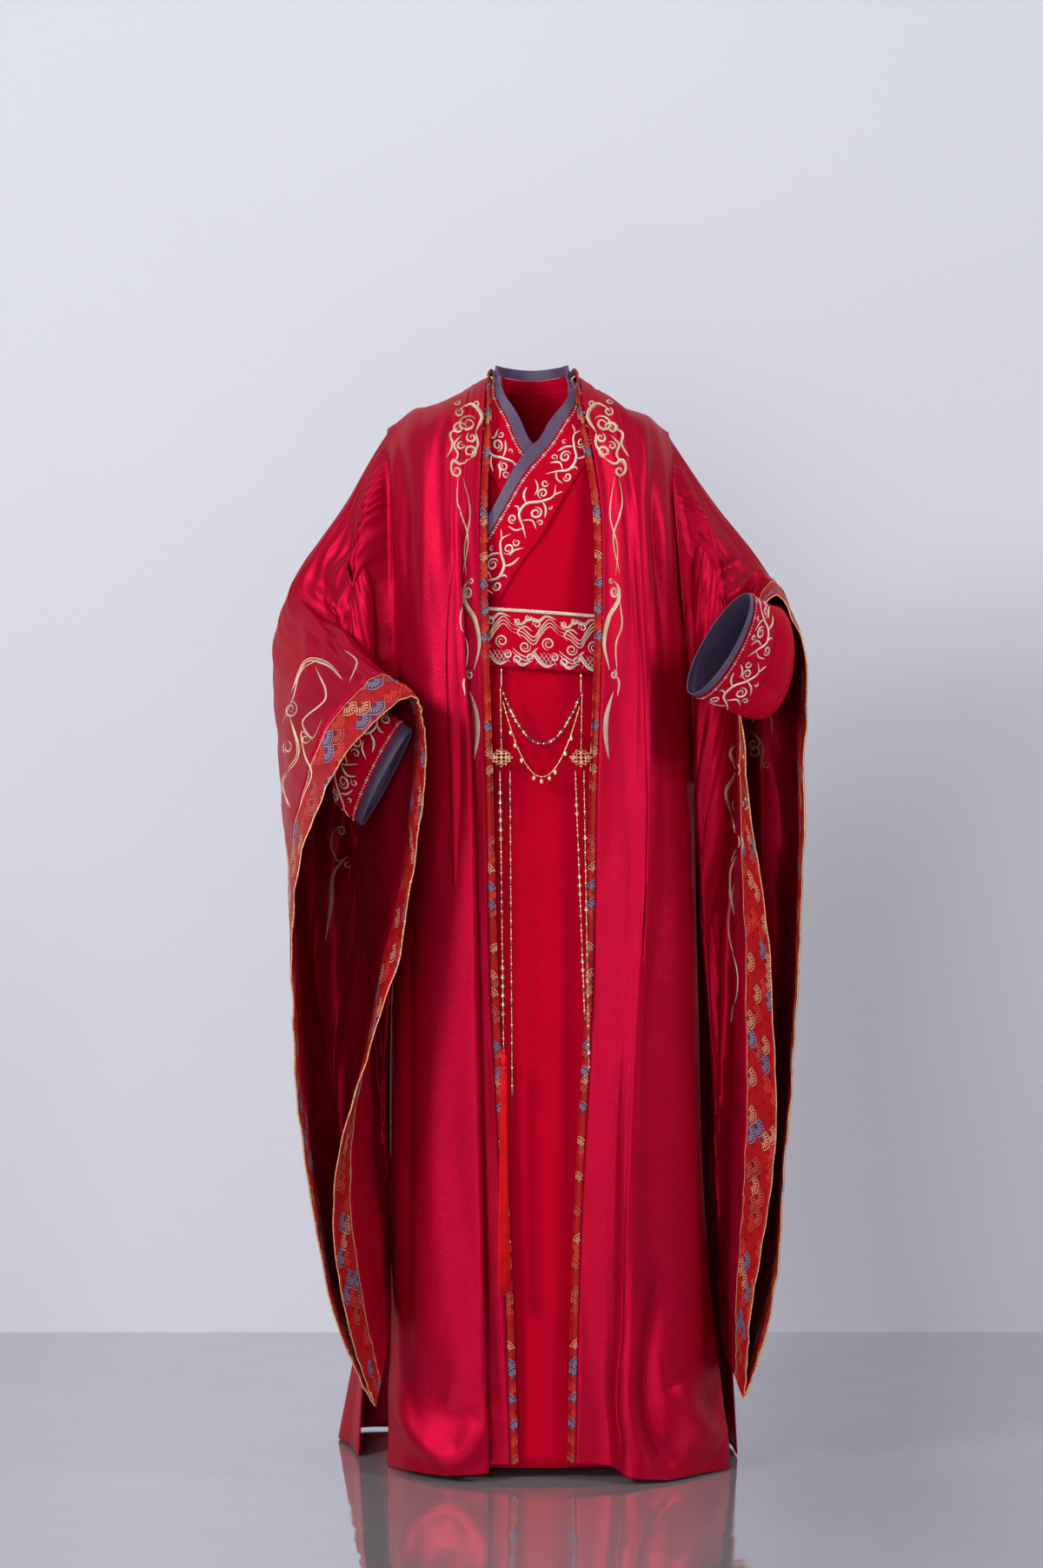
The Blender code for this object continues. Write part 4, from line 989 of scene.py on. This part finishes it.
def figure(turn, z, out=0.0):
    """Points on the figure, turn degrees round from the viewer's right by way of the front."""
    table = np.array(FIGURE, float)[::-1]
    wide, front, back = (np.interp(z, table[:, 0], table[:, k]) + out for k in (1, 2, 3))
    c, s = np.cos(np.radians(turn)), -np.sin(np.radians(turn))
    x = wide * np.sign(c) * np.abs(c) ** (2 / ROUND)
    y = np.where(s > 0, back, front) * np.sign(s) * np.abs(s) ** (2 / ROUND)
    return np.stack([x, y, z + 0 * x], axis=-1)


def lap_grid(rows, facing):
    """Rows of points across a lap, on the figure."""
    table = np.array(rows, float)
    last = len(table) - 1
    fine = np.concatenate([np.linspace(k, k + 1, 14, endpoint=False) for k in range(last)] + [[last]])
    table = np.stack([np.interp(fine, np.arange(len(table)), table[:, k]) for k in range(5)], axis=1)
    across = np.linspace(0, 1, LAP_STEPS + 1)
    turn = table[:, :1] + (table[:, 2:3] - table[:, :1]) * across
    z = table[:, 1:2] + (table[:, 3:4] - table[:, 1:2]) * across
    grid = figure(turn, z)
    return grid - normals(grid) * facing * table[:, 4:5, None]


TWILL, given, gives = group("wool_twill", (("Vector", VECTOR, None), ("Rib", FLOAT, 1100.0)),
                            (("Height", FLOAT), ("Shade", FLOAT)))
parts = node(TWILL, "ShaderNodeSeparateXYZ", {0: given["Vector"]}).outputs
lean = node(TWILL, "ShaderNodeMath", {0: parts[0], 1: parts[2]}, operation="ADD")
rib = node(TWILL, "ShaderNodeMath", {0: lean.outputs[0], 1: given["Rib"]}, operation="MULTIPLY")
wave = node(TWILL, "ShaderNodeMath", {0: rib.outputs[0]}, operation="SINE")
fuzz = node(TWILL, "ShaderNodeTexNoise", {"Vector": given["Vector"], "Scale": 900.0, "Detail": 2.0})
high = node(TWILL, "ShaderNodeMath", {0: wave.outputs[0], 1: 0.35, 2: fuzz.outputs["Fac"]},
            operation="MULTIPLY_ADD")
tone = node(TWILL, "ShaderNodeMapRange", {"Value": high.outputs[0], "From Min": 0.0, "From Max": 1.0,
                                          "To Min": 0.88, "To Max": 1.10})
TWILL.links.new(high.outputs[0], gives["Height"])
TWILL.links.new(tone.outputs[0], gives["Shade"])

wool = finish("crimson_wool", (0.43, 0.0004, 0.015), 0.85, Sheen_Weight=0.10, Sheen_Roughness=0.5,
              Sheen_Tint=(1, 0.02, 0.08, 1), Specular_IOR_Level=0.3, Specular_Tint=(1, 0.04, 0.10, 1))
grained(wool, TWILL, 0.3, 0.0003)
shaded(wool, 7.0, 0.94, 1.06)
purple = finish("purple_satin", (0.072, 0.042, 0.092), 0.42, Sheen_Weight=0.2, Sheen_Tint=(0.7, 0.6, 1, 1))
grained(purple, CREPE, 0.4, 0.0003)
shaded(purple, 25.0, 0.85, 1.15)

SKIRT_CREASES = (
    (((-14, -420), (-18, -900), (-22, -1510)), 14, -3, -1),
    (((34, -420), (32, -1000), (26, -1510)), 20, 4, -1),
    (((-40, -620), (-46, -1100), (-44, -1500)), 9, 3, -1),
    (((60, -640), (58, -1100), (52, -1500)), 8, -3, -1),
    (((40, -120), (30, -200), (10, -300)), 10, -2, -1), (((70, -60), (66, -160), (52, -290)), 9, 3, -1),
    (((-60, -460), (-70, -900), (-80, -1500)), 22, 8, 1), (((0, -460), (4, -900), (10, -1500)), 20, -7, 1),
    (((70, -460), (80, -900), (86, -1500)), 22, 8, 1))
inner = {}
over = lap_grid(OVER_LAP, 1)
under = lap_grid(UNDER_LAP, -1)
levels = np.array(BACK_LEVELS, float)
fine = np.linspace(0, len(levels) - 1, 130)
back = []
for k in fine:
    z, past = (np.interp(k, np.arange(len(levels)), levels[:, c]) for c in (0, 1))
    back.append(figure(np.linspace(-past, past - 180, 61), z * np.ones(61)))
for name, grid, facing, node_name in (("wool_over_lap", over, 1, "inner_front_over"),
                                      ("wool_under_lap", under, -1, "inner_front_under"),
                                      ("wool_back", np.array(back), 1, "inner_back")):
    away = -normals(grid) * facing
    if (away * (grid * (1, 1, 0))).sum() < 0:
        away = -away
    grid = pressed(grid, away, SKIRT_CREASES if name != "wool_under_lap" else ())
    away = normals(grid) * np.sign((normals(grid) * away).sum())
    cloth(name, grid, away, wool, (node_name,), WOOL)
    inner[name] = (grid, away)


# ---------------------------------------------------------------- inner robe, collar
# The wide cross collar: crimson cloth with a narrow purple satin edge at the neck, sewn round it.
COLLAR_WIDE = 60.0
EDGE_WIDE = 15.0
COLLAR = (
    (129, -262, 104, -302, 4.4), (110, -194, 91, -234, 4.4), (89, -80, 71, -120, 4.4),
    (79, -38, 60, -78, 4.4), (43, 8, 49, -48, 4.4), (0, 42, 0, -14, 4.4), (-45, 44, -45, -26, 4.4),
    (-90, 42, -90, -32, 4.4), (-135, 44, -135, -26, 4.4), (-180, 42, -180, -14, 4.4),
    (-221, 18, -231, -44, 3.6), (-256, -20, -242, -66, 0.0), (-271, -83, -254, -124, -4.8),
    (-288, -180, -269, -221, -4.8))
table = smooth(np.array(COLLAR, float), np.linspace(0, len(COLLAR) - 1, 241))
share = np.array([0, 0.5, 1, 7.5, 14, 15, 15.3, 16, 25, 35, 45, 55, 65, 74, 75]) / (EDGE_WIDE + COLLAR_WIDE)
turn = table[:, :1] + (table[:, 2:3] - table[:, :1]) * share
z = table[:, 1:2] + (table[:, 3:4] - table[:, 1:2]) * share
grid = figure(turn, z)
away = -normals(grid)
grid = grid + away * table[:, 4:5, None]
cloth("collar_purple_edge", grid[:, :6] + away[:, :6] * 0.5, away[:, :6], purple,
      ("collar_edge",), WOOL)
cloth("collar_crimson", grid[:, 6:], away[:, 6:], wool, ("collar",), WOOL)
collar_face = (grid[:, 6:], away[:, 6:])


# ---------------------------------------------------------------- inner robe, sleeves
# Narrow wool sleeves that end in an embroidered cuff, lined with purple satin that shows past it.
CUFF_WIDE = 66.0
CUFF_EDGE = 13.0
LINING = 1.4
LINING_GAP = 0.8
TUBE_LEFT = (
    ((-187, 0, -152), (0, 0, 80), 14), ((-232, 10, -212), (8, 0, 74), 30),
    ((-286, 24, -290), (14, 0, 66), 31), ((-310, 2, -362), (0, 10, 62), 31),
    ((-296, -78, -428), (-12, 22, 64), 30), ((-262, -146, -488), (8, 10, 68), 30),
    ((-240, -172, -520), (28, -8, 70), 26), ((-210, -184, -543), (34, -13, 68), 23))
TUBE_RIGHT = (
    ((187, 0, -152), (0, 0, 80), 14), ((232, 10, -208), (-8, 0, 74), 30),
    ((290, 24, -284), (-10, 0, 66), 31), ((330, 4, -342), (0, 0, 66), 31),
    ((338, -84, -368), (2, 4, 66), 31), ((322, -182, -392), (10, 0, 78), 33),
    ((257, -280, -373), (37, -24, 68), 27))
TUBE_AROUND = 96
SLEEVE_CREASES = {
    -1: ((((-262, -474), (-238, -500), (-214, -470)), 7, -3, -1),),
    1: ((((344, -320), (350, -360), (340, -400)), 8, 5, -1),
        (((330, -318), (332, -360), (326, -410)), 6, -5, -1),
        (((318, -330), (316, -372), (312, -412)), 6, 4, -1),
        (((306, -404), (326, -430), (344, -440)), 7, -4, -1))}


def tube_grid(table, around, along):
    """Rings of an inner sleeve."""
    turn = np.linspace(0, 2 * math.pi, around, endpoint=False)
    middle = np.array([r[0] for r in table], float)
    way = np.gradient(middle, axis=0)
    rings = []
    for (centre, tall, short), forward in zip(table, way):
        tall = np.array(tall, float)
        flat = np.cross(forward, tall)
        flat /= np.linalg.norm(flat)
        rings.append(np.array(centre) + np.outer(np.cos(turn), tall) + np.outer(np.sin(turn), flat * short))
    return smooth(np.array(rings), along)


cuff_faces = {}
for side, name, table in ((-1, "left", TUBE_LEFT), (1, "right", TUBE_RIGHT)):
    last = len(table) - 1
    reach = math.dist(table[last][0], table[last - 1][0])
    band = last - CUFF_WIDE / reach
    along = np.concatenate([np.linspace(0, band, 60), np.linspace(band + SEAM / reach, last, 16)])
    grid = tube_grid(table, TUBE_AROUND, along)
    away = -normals(grid, closed=True)
    grid[:60] = pressed(grid[:60], away[:60], SLEEVE_CREASES[side])
    away = -normals(grid, closed=True)
    cloth("wool_sleeve_" + name, grid[:60], away[:60], wool, ("inner_sleeve_" + name,), WOOL,
          closed=True)
    cloth("cuff_" + name, grid[60:], away[60:], wool, ("cuff_band_" + name,), WOOL,
          closed=True)
    cuff_faces[name] = (grid[60:], away[60:])
    lining = grid[44:] - away[44:] * (WOOL + LINING_GAP)
    way = grid[-1] - grid[-2]
    way *= CUFF_EDGE / np.linalg.norm(way, axis=-1).mean()
    edge = np.array([lining[-1] + way * t for t in (0.1, 0.5, 0.93, 1)])
    edge = edge + away[-1] * np.array((1.0, 1.6, 1.2, 0.8))[:, None, None]
    lining = np.concatenate([lining, edge])
    facing = -normals(lining, closed=True)
    cloth("cuff_purple_" + name, lining, facing, purple, ("cuff_lining_" + name,), LINING,
          closed=True)


# ---------------------------------------------------------------- belt
# A stiff crimson belt, drawn tight round the waist over the robe, with a twisted cream cord
# couched along its top edge.
BELT_TOP, BELT_HIGH, BELT_OUT, BELT_THICK = -321.0, 77.0, 10.0, 3.0
ROPE_THICK = 6.0


def belt_ring(z, out, around):
    """Points round the waist, on a level that drops to the viewer's right."""
    turn = np.linspace(0, 360, around, endpoint=False)
    points = figure(turn, z * np.ones(around), out)
    points[:, 2] += points[:, 0] * BELT_TILT
    return points


grid = np.array([belt_ring(BELT_TOP - BELT_HIGH * t, BELT_OUT, 240) for t in np.linspace(0, 1, 17)])
away = -normals(grid, closed=True)
away *= np.sign((away * grid * (1, 1, 0)).sum())
bulge = np.sin(np.linspace(0, math.pi, 17))[:, None, None] * 0.8 - 0.4
cloth("belt_crimson", grid + away * bulge, away, wool, ("belt",), BELT_THICK,
      closed=True)
belt_face = (grid, away)

cream = finish("cream_cord", (0.70, 0.56, 0.42), 0.55, Sheen_Weight=0.2)
shaded(cream, 300.0, 0.72, 1.15)
bm = bmesh.new()
line = belt_ring(BELT_TOP + SEAM + ROPE_THICK / 2, BELT_OUT - 1.0, 720)
TURNS, PLIES = 105, 3
for ply in range(PLIES):
    first = edges = None
    for k, spot in enumerate(line):
        way = Vector(line[(k + 1) % len(line)] - line[k - 1]).normalized()
        out = Vector((spot[0], spot[1], 0)).normalized()
        up = way.cross(out)
        a = 2 * math.pi * (TURNS * k / len(line) + ply / PLIES)
        middle = Vector(spot) + (out * math.cos(a) + up * math.sin(a)) * ROPE_THICK * 0.235
        if k == 0:
            ring = bmesh.ops.create_circle(bm, segments=6, radius=1)["verts"]
            edges = first = list({e for v in ring for e in v.link_edges})
        else:
            ring, edges = next_ring(bm, edges)
        for j, v in enumerate(ring):
            b = j * math.pi / 3
            v.co = (middle + (out * math.cos(b) + up * math.sin(b)) * ROPE_THICK * 0.255) * MM
    bmesh.ops.bridge_loops(bm, edges=edges + first)
bmesh.ops.recalc_face_normals(bm, faces=bm.faces)
piece("belt_cream_cord", bm, (cream,), ("belt_rope",))


# ---------------------------------------------------------------- embroidery
# Scrolls, flames and cloud waves in silk: champagne on the outer robe, cream on the collar, cuffs
# and belt.  Each stroke is satin stitch over padding, a low ridge that tapers to its ends, with
# painted shade darkening one side of it.
RIDGE = 1.0             # height of the stitching over the cloth
STEP = 2.2              # length of each facet along a stroke
FRONT_FULL, SLEEVE_FULL = 1.5, 1.4      # how much fuller than in the tables these strokes are
JUMP = 9.0              # a stroke is broken where the cloth under it steps back by more than this
STITCH_WITH_SHADE, given, gives = group("stitches_and_painted_shade", (("Vector", VECTOR, None), ("Pitch", FLOAT, 6500.0)),
                             (("Height", FLOAT), ("Shade", FLOAT)))
parts = node(STITCH_WITH_SHADE, "ShaderNodeSeparateXYZ", {0: given["Vector"]}).outputs
lean = node(STITCH_WITH_SHADE, "ShaderNodeMath", {0: parts[0], 1: 0.0004, 2: parts[1]}, operation="MULTIPLY_ADD")
turns = node(STITCH_WITH_SHADE, "ShaderNodeMath", {0: lean.outputs[0], 1: given["Pitch"]}, operation="MULTIPLY")
wave = node(STITCH_WITH_SHADE, "ShaderNodeMath", {0: turns.outputs[0]}, operation="SINE")
# painted shade: the colour falls to about half across one side of each stroke, as if its ridge were lit from
# the other
painted_side_shade = node(STITCH_WITH_SHADE, "ShaderNodeMapRange", {"Value": parts[0], "From Min": 0.1, "From Max": 0.8,
                                                "To Min": 0.48, "To Max": 1.06})
tone = node(STITCH_WITH_SHADE, "ShaderNodeMath", {0: wave.outputs[0], 1: 0.08, 2: painted_side_shade.outputs[0]},
            operation="MULTIPLY_ADD")
STITCH_WITH_SHADE.links.new(wave.outputs[0], gives["Height"])
STITCH_WITH_SHADE.links.new(tone.outputs[0], gives["Shade"])
champagne = finish("champagne_silk", (0.66, 0.50, 0.33), 0.42, 0.12, Sheen_Weight=0.2)
# the stitch group carries thread stripes and painted shade on one side of each stroke into the colour
grained(champagne, STITCH_WITH_SHADE, 0.35, 0.0002, uv=True)
shaded(champagne, 34.0, 0.62, 1.18)
cream_silk = finish("cream_silk", (0.80, 0.70, 0.58), 0.45, Sheen_Weight=0.25)
grained(cream_silk, STITCH_WITH_SHADE, 0.35, 0.0002, uv=True)
shaded(cream_silk, 60.0, 0.82, 1.1)


def curl(x, z, radius, first, turns):
    """Points of a spiral, from its eye to its outside, where its angle is first degrees."""
    t = np.linspace(0, 1, int(10 + 16 * turns))
    turn = math.radians(first) - 2 * math.pi * turns * (1 - t)
    reach = radius * (0.16 + 0.84 * t ** 0.8)
    return np.stack([x + reach * np.cos(turn), z + reach * np.sin(turn)], axis=-1)


def drawn(lines, curls, at=(0, 0), size=(1, 1)):
    """A motif's strokes, each with its greatest width: lines through points, and spirals."""
    strokes = []
    for points, wide, beside in lines:
        path = smooth(np.array(points, float), np.linspace(0, len(points) - 1, 12 * len(points)))
        strokes.append((path, wide))
        if beside:
            way = np.gradient(path, axis=0)
            way /= np.linalg.norm(way, axis=-1, keepdims=True) + 1e-9
            swell = np.sin(np.linspace(0, math.pi, len(path)))[:, None]
            strokes.append((path + way[:, ::-1] * (1, -1) * beside * swell, wide * 0.6))
    for x, z, radius, first, turns, wide in curls:
        strokes.append((curl(x, z, radius, first, turns), wide))
    return [(path * size + at, wide) for path, wide in strokes]


def ridge(bm, uv, spots, away, wide):
    """One stroke: a grid bent into a low arch along its line, narrow at both ends."""
    count = len(spots)
    way = np.gradient(spots, axis=0)
    over = np.cross(away, way)
    over /= np.linalg.norm(over, axis=-1, keepdims=True) + 1e-9
    run = run_of(spots)
    t = run / max(run[-1], 1e-6)
    half = wide / 2 * np.clip(np.sin(math.pi * np.clip(t, 0, 1)) ** 0.55, 0.12, 1)
    verts = bmesh.ops.create_grid(bm, x_segments=4, y_segments=count - 1, size=1)["verts"]
    place_uv = {}
    for v in verts:
        u, i = v.co.x, int(round((v.co.y + 1) / 2 * (count - 1)))
        high = (RIDGE + 0.3) * (1 - u * u) * (0.35 + 0.65 * half[i] * 2 / wide) - 0.25
        v.co = Vector(spots[i] + over[i] * half[i] * u + away[i] * high) * MM
        place_uv[v] = ((u + 1) / 2, run[i] * MM)
    faces = {face for v in verts for face in v.link_faces}
    for face in faces:
        for loop in face.loops:
            loop[uv].uv = place_uv[loop.vert]
    bm.normal_update()
    if sum(v.normal.dot(Vector(away[count // 2])) for v in verts) < 0:
        bmesh.ops.reverse_faces(bm, faces=list(faces))


def stitched(name, strokes, lie, paint):
    """All strokes of one piece, laid on its cloth by lie, which gives spots and normals or None."""
    bm = bmesh.new()
    uv = bm.loops.layers.uv.new("stitch")
    for path, wide in strokes:
        run = run_of(path)
        count = max(4, int(run[-1] / STEP))
        even = np.stack([np.interp(np.linspace(0, run[-1], count), run, path[:, k]) for k in (0, 1)], axis=-1)
        stretch = []
        for spot in [lie(*p) for p in even] + [None]:
            broken = spot is None or (stretch and abs(spot[0][1] - stretch[-1][0][1]) > JUMP)
            if broken:
                if len(stretch) > 3:
                    ridge(bm, uv, *(np.array(c) for c in zip(*stretch)), wide)
                stretch = []
            if spot is not None:
                stretch.append(spot)
    return piece(name, bm, (paint,))


def from_front(key, wall=SATIN):
    """Lays points of the front's plane on a panel, where it shows from in front."""
    grid, away = satin_faces[key]
    if key.startswith("sleeve"):
        grid, away = ringed(grid, away)
    across = grid.shape[1]
    corners = np.arange(grid.size // 3).reshape(grid.shape[:2])
    quads = np.stack([corners[:-1, :-1], corners[1:, :-1], corners[1:, 1:], corners[:-1, 1:]], axis=-1)
    quads = quads.reshape(-1, 4)
    tree = BVHTree.FromPolygons(grid.reshape(-1, 3).tolist(), quads.tolist())
    outwards = away.reshape(-1, 3)

    def lie(x, z):
        spot, _, index, _ = tree.ray_cast(Vector((x, -2000, z)), Vector((0, 1, 0)))
        if spot is None:
            return None
        out = outwards[quads[index]].mean(0)
        out /= np.linalg.norm(out) + 1e-9
        if out[1] > 0:                  # the wall is on the viewer's side of the grid
            return np.array(spot) - out * wall, -out
        return np.array(spot), out
    return lie


def on_grid(grid, away, lift=0.0):
    """Lays points on a grid by their distances along its middle and across it."""
    along = run_of(grid[:, grid.shape[1] // 2])
    across = np.concatenate([[0], np.cumsum(np.linalg.norm(np.diff(grid, axis=1), axis=-1).mean(0))])

    def lie(s, w):
        if not (0 <= s <= along[-1] and 0 <= w <= across[-1]):
            return None
        i, j = (np.interp(at, line, np.arange(len(line))) for at, line in ((s, along), (w, across)))
        a, b = min(int(i), len(along) - 2), min(int(j), len(across) - 2)
        u, v = i - a, j - b
        found = []
        for part in (grid, away):
            found.append((part[a, b] * (1 - u) + part[a + 1, b] * u) * (1 - v)
                         + (part[a, b + 1] * (1 - u) + part[a + 1, b + 1] * u) * v)
        return found[0] + found[1] * lift, found[1]
    return lie, along[-1], across[-1]


# Down each front edge of the outer robe: points out from the edge and up, width, second line beside.
FRONT_LINES = (
    (((8, -66), (1, -42), (18, -24), (34, -34)), 4.2, 0),
    (((32, -60), (44, -68), (39, -84), (47, -102)), 3.2, 0),
    (((26, -70), (36, -84), (30, -100), (36, -112)), 2.4, 0), (((8, -66), (4, -84), (14, -104)), 3.0, 0),
    (((14, -104), (26, -112), (36, -106), (38, -122), (30, -132)), 3.2, 0),
    (((30, -132), (38, -180), (22, -212), (34, -266)), 2.0, 0),
    (((24, -130), (17, -190), (30, -230), (26, -268)), 1.6, 0),
    (((22, -276), (32, -284), (34, -298), (10, -330), (1, -362), (14, -400)), 4.0, 3.0),
    (((34, -300), (39, -340), (28, -362), (31, -402)), 2.0, 0),
    (((26, -405), (36, -416), (34, -436)), 2.4, 0),
    (((24, -430), (12, -466), (12, -490), (20, -524)), 4.0, 4.0))
FRONT_CURLS = (
    (31, -60, 9, 200, 1.5, 3.2), (13, -74, 7, 60, 1.3, 2.8), (26, -86, 6, 120, 1.2, 2.4),
    (36, -20, 5, 20, 1.2, 2.2),
    (20, -54, 12, 150, 1.6, 3.0), (31, -36, 7, 60, 1.3, 2.4), (11, -24, 6, 330, 1.2, 2.2),
    (14, -94, 9, 270, 1.5, 2.8),
    (31, -122, 8, 30, 1.3, 2.6), (16, -275, 5, 0, 1.2, 2.0), (23, -291, 9, 60, 1.6, 2.8),
    (24, -406, 7, 90, 1.4, 2.4))
# On the sleeves: points across and up, from the front.
SLEEVE_STROKES = {
    "left": (
        ((((-262, -415), (-285, -394), (-312, -386), (-338, -430)), 2.8, 4.0),
         (((-295, -383), (-322, -398), (-335, -440), (-352, -472)), 2.2, 0),
         (((-262, -372), (-244, -388), (-252, -418)), 2.2, 0),
         (((-338, -466), (-322, -520), (-350, -560), (-332, -592)), 3.2, 3.5),
         (((-303, -395), (-285, -440), (-318, -476), (-302, -496), (-288, -470)), 3.0, 0),
         (((-300, -500), (-318, -486), (-312, -520), (-300, -545), (-310, -572), (-322, -608)), 2.6, 0),
         (((-340, -640), (-330, -700), (-346, -760)), 2.0, 0),
         (((-336, -690), (-342, -742), (-334, -800)), 2.4, 0)),
        ((-338, -455, 12, 100, 1.6, 2.8), (-341, -508, 11, 280, 1.6, 2.8), (-312, -497, 7, 20, 1.2, 2.2))),
    "right": (
        ((((300, -497), (282, -512), (292, -540), (276, -570), (284, -606)), 3.0, 3.0),
         (((284, -606), (296, -640), (284, -690), (290, -748)), 2.6, 3.5),
         (((290, -700), (282, -760), (292, -830), (286, -900)), 2.0, 0),
         (((318, -430), (330, -446), (322, -474)), 2.4, 0)),
        ((292, -588, 11, 90, 1.6, 2.8), (300, -520, 7, 0, 1.3, 2.4), (326, -500, 8, 60, 1.4, 2.4)))}
INSIDE_STROKES = {
    "left": (
        ((((-288, -622), (-294, -650), (-280, -672), (-266, -664)), 2.6, 0),
         (((-272, -668), (-288, -690), (-292, -730), (-302, -790)), 3.4, 3.0)),
        ((-278, -628, 8, 200, 1.4, 2.4), (-268, -676, 6, 40, 1.2, 2.2))),
    "right": (
        ((((330, -430), (346, -452), (352, -486)), 2.6, 0),
        (((322, -480), (336, -500), (334, -540)), 2.4, 0)),
        ((326, -512, 9, 160, 1.5, 2.4), (342, -530, 6, 20, 1.2, 2.0)))}
for side, name in ((-1, "left"), (1, "right")):
    grid = satin_faces["body_" + name][0]
    rows = BODY_ROWS <= SHOULDER
    order = np.argsort(grid[rows, 0, 2])
    edge = grid[rows, 0][order]
    strokes = []
    for path, wide in drawn(FRONT_LINES, FRONT_CURLS):
        low = np.clip((-path[:, 1] - 120) / 60, 0, 1)
        path = path * np.stack([1 - 0.36 * low, 1 + 0 * low], axis=-1)      # narrower beside the pleat
        x = np.interp(path[:, 1], edge[:, 2], edge[:, 0]) + side * (path[:, 0] + 2)
        strokes.append((np.stack([x, path[:, 1]], axis=-1), wide * FRONT_FULL))
    stitched("front_scrolls_" + name, strokes, from_front("body_" + name), champagne)
    strokes = drawn(*SLEEVE_STROKES[name]) + drawn(*INSIDE_STROKES[name])
    strokes = [(path, wide * SLEEVE_FULL) for path, wide in strokes]
    stitched("sleeve_scrolls_" + name, strokes, from_front("sleeve_" + name), champagne)

# A collar and cuff motif: an S-shaped stem with curls and flame leaves, points along and across it.
UNIT_LONG = 92.0
UNIT_LINES = (
    (((3, 14), (14, 26), (30, 44), (46, 42), (60, 26), (76, 14), (90, 22)), 4.2, 0),
    (((30, 44), (36, 52), (34, 56)), 3.0, 0), (((46, 42), (56, 52), (68, 55)), 3.6, 0),
    (((14, 26), (6, 34), (5, 48)), 3.0, 0), (((60, 26), (52, 14), (40, 8)), 3.4, 0),
    (((22, 34), (28, 22), (20, 10)), 3.0, 0),
    (((76, 14), (84, 8), (88, 4)), 2.4, 0), (((62, 40), (72, 42), (82, 52)), 2.8, 0))
UNIT_CURLS = (
    (17, 48, 7, 240, 1.4, 3.0), (40, 24, 9, 40, 1.5, 3.4), (70, 32, 8, 200, 1.5, 3.0),
    (30, 10, 5, 120, 1.2, 2.2),
    (84, 38, 6, 300, 1.2, 2.6), (58, 9, 4, 0, 1.0, 2.0))
# The belt's: rows of cloud waves that break in curls, with patches of net.
BELT_LONG = 64.0
BELT_LINES = tuple(
    (((0, 22 + k), (12, 12 + k), (24, 24 + k), (34, 38 + k), (48, 28 + k), (64, 22 + k)), 2.0,
    0) for k in (-6, -1, 4))
BELT_LINES += tuple((((34, 50 + k), (44, 60 + k), (54, 56 + k), (64, 48 + k)), 1.8, 0) for k in (0, 5))
BELT_LINES += tuple((((a, 52), (a + 12, 70)), 0.9, 0) for a in (2, 8, 14, 20))
BELT_LINES += tuple((((a + 12, 52), (a, 70)), 0.9, 0) for a in (2, 8, 14, 20))
BELT_LINES += (
    (((4, 66), (16, 72), (28, 64), (34, 52), (28, 46)), 2.8, 3.0), (((38, 66), (50, 72), (62, 62)), 2.6, 2.5),
    (((2, 6), (18, 3), (26, 10), (40, 8), (52, 16), (62, 8)), 2.6, 2.5),
    (((36, 24), (46, 18), (56, 26), (52, 34)), 2.4, 0))
BELT_CURLS = (
    (6, 58, 6, 300, 1.4, 2.4), (38, 60, 6, 120, 1.4, 2.4), (56, 64, 6, 60, 1.4, 2.4),
    (42, 6, 5, 220, 1.3, 2.2),
    (14, 40, 9, 90, 1.7, 2.6), (46, 46, 8, 200, 1.6, 2.6), (30, 14, 6, 20, 1.4, 2.2),
    (56, 12, 5, 140, 1.3, 2.0))


def repeated(long, lines, curls, whole, high, room):
    """A motif repeated along a strip, each turned over against the last, fitted to its width."""
    count = max(1, round(whole / long))
    pitch = whole / count
    strokes = []
    for k in range(count):
        flip = k % 2 == 1 and lines is UNIT_LINES
        size = (pitch / long, (-1 if flip else 1) * room / high)
        strokes += drawn(lines, curls, (k * pitch, room if flip else 0), size)
    return strokes


def beaded(name, lie, whole, across):
    """A row of round knots with a lozenge for every fifth, in cream silk."""
    bm = bmesh.new()
    count = int(whole / 4.4)
    for k in range(count):
        found = lie((k + 0.5) * whole / count, across)
        if found is None:
            continue
        big = k % 5 == 2
        turn = Vector(found[1]).to_track_quat("Z", "Y").to_matrix()
        verts = bmesh.ops.create_uvsphere(bm, u_segments=4 if big else 7, v_segments=4, radius=1.0)["verts"]
        for v in verts:
            x, y, z = v.co * (3.0 if big else 1.6)
            v.co = (Vector(found[0]) + turn @ Vector((x, y, z * 0.55))) * MM
    return piece(name, bm, (cream_silk,))


COLLAR_MARGIN, CUFF_MARGIN = 7.0, 7.0    # from the purple edge to the knots' far side
lie, whole, high = on_grid(*collar_face)
strokes = [(path + (0, COLLAR_MARGIN), wide)
           for path, wide in repeated(UNIT_LONG, UNIT_LINES, UNIT_CURLS, whole, 60, high - COLLAR_MARGIN - 2)]
stitched("collar_scrolls", strokes, lie, cream_silk)
beaded("collar_knots", lie, whole, 3.6)
for name, (grid, away) in cuff_faces.items():
    ring = [np.swapaxes(part, 0, 1) for part in ringed(grid, away)]
    lie, whole, high = on_grid(*ring)
    stitched("cuff_scrolls_" + name,
             repeated(UNIT_LONG, UNIT_LINES, UNIT_CURLS, whole, 60, high - CUFF_MARGIN), lie, cream_silk)
    beaded("cuff_knots_" + name, lie, whole, high - 3.6)
ring = [np.swapaxes(part, 0, 1) for part in ringed(*belt_face)]
lie, whole, high = on_grid(*ring, lift=0.3)
stitched("belt_clouds", repeated(BELT_LONG, BELT_LINES, BELT_CURLS, whole, 74, high - 2), lie, cream_silk)
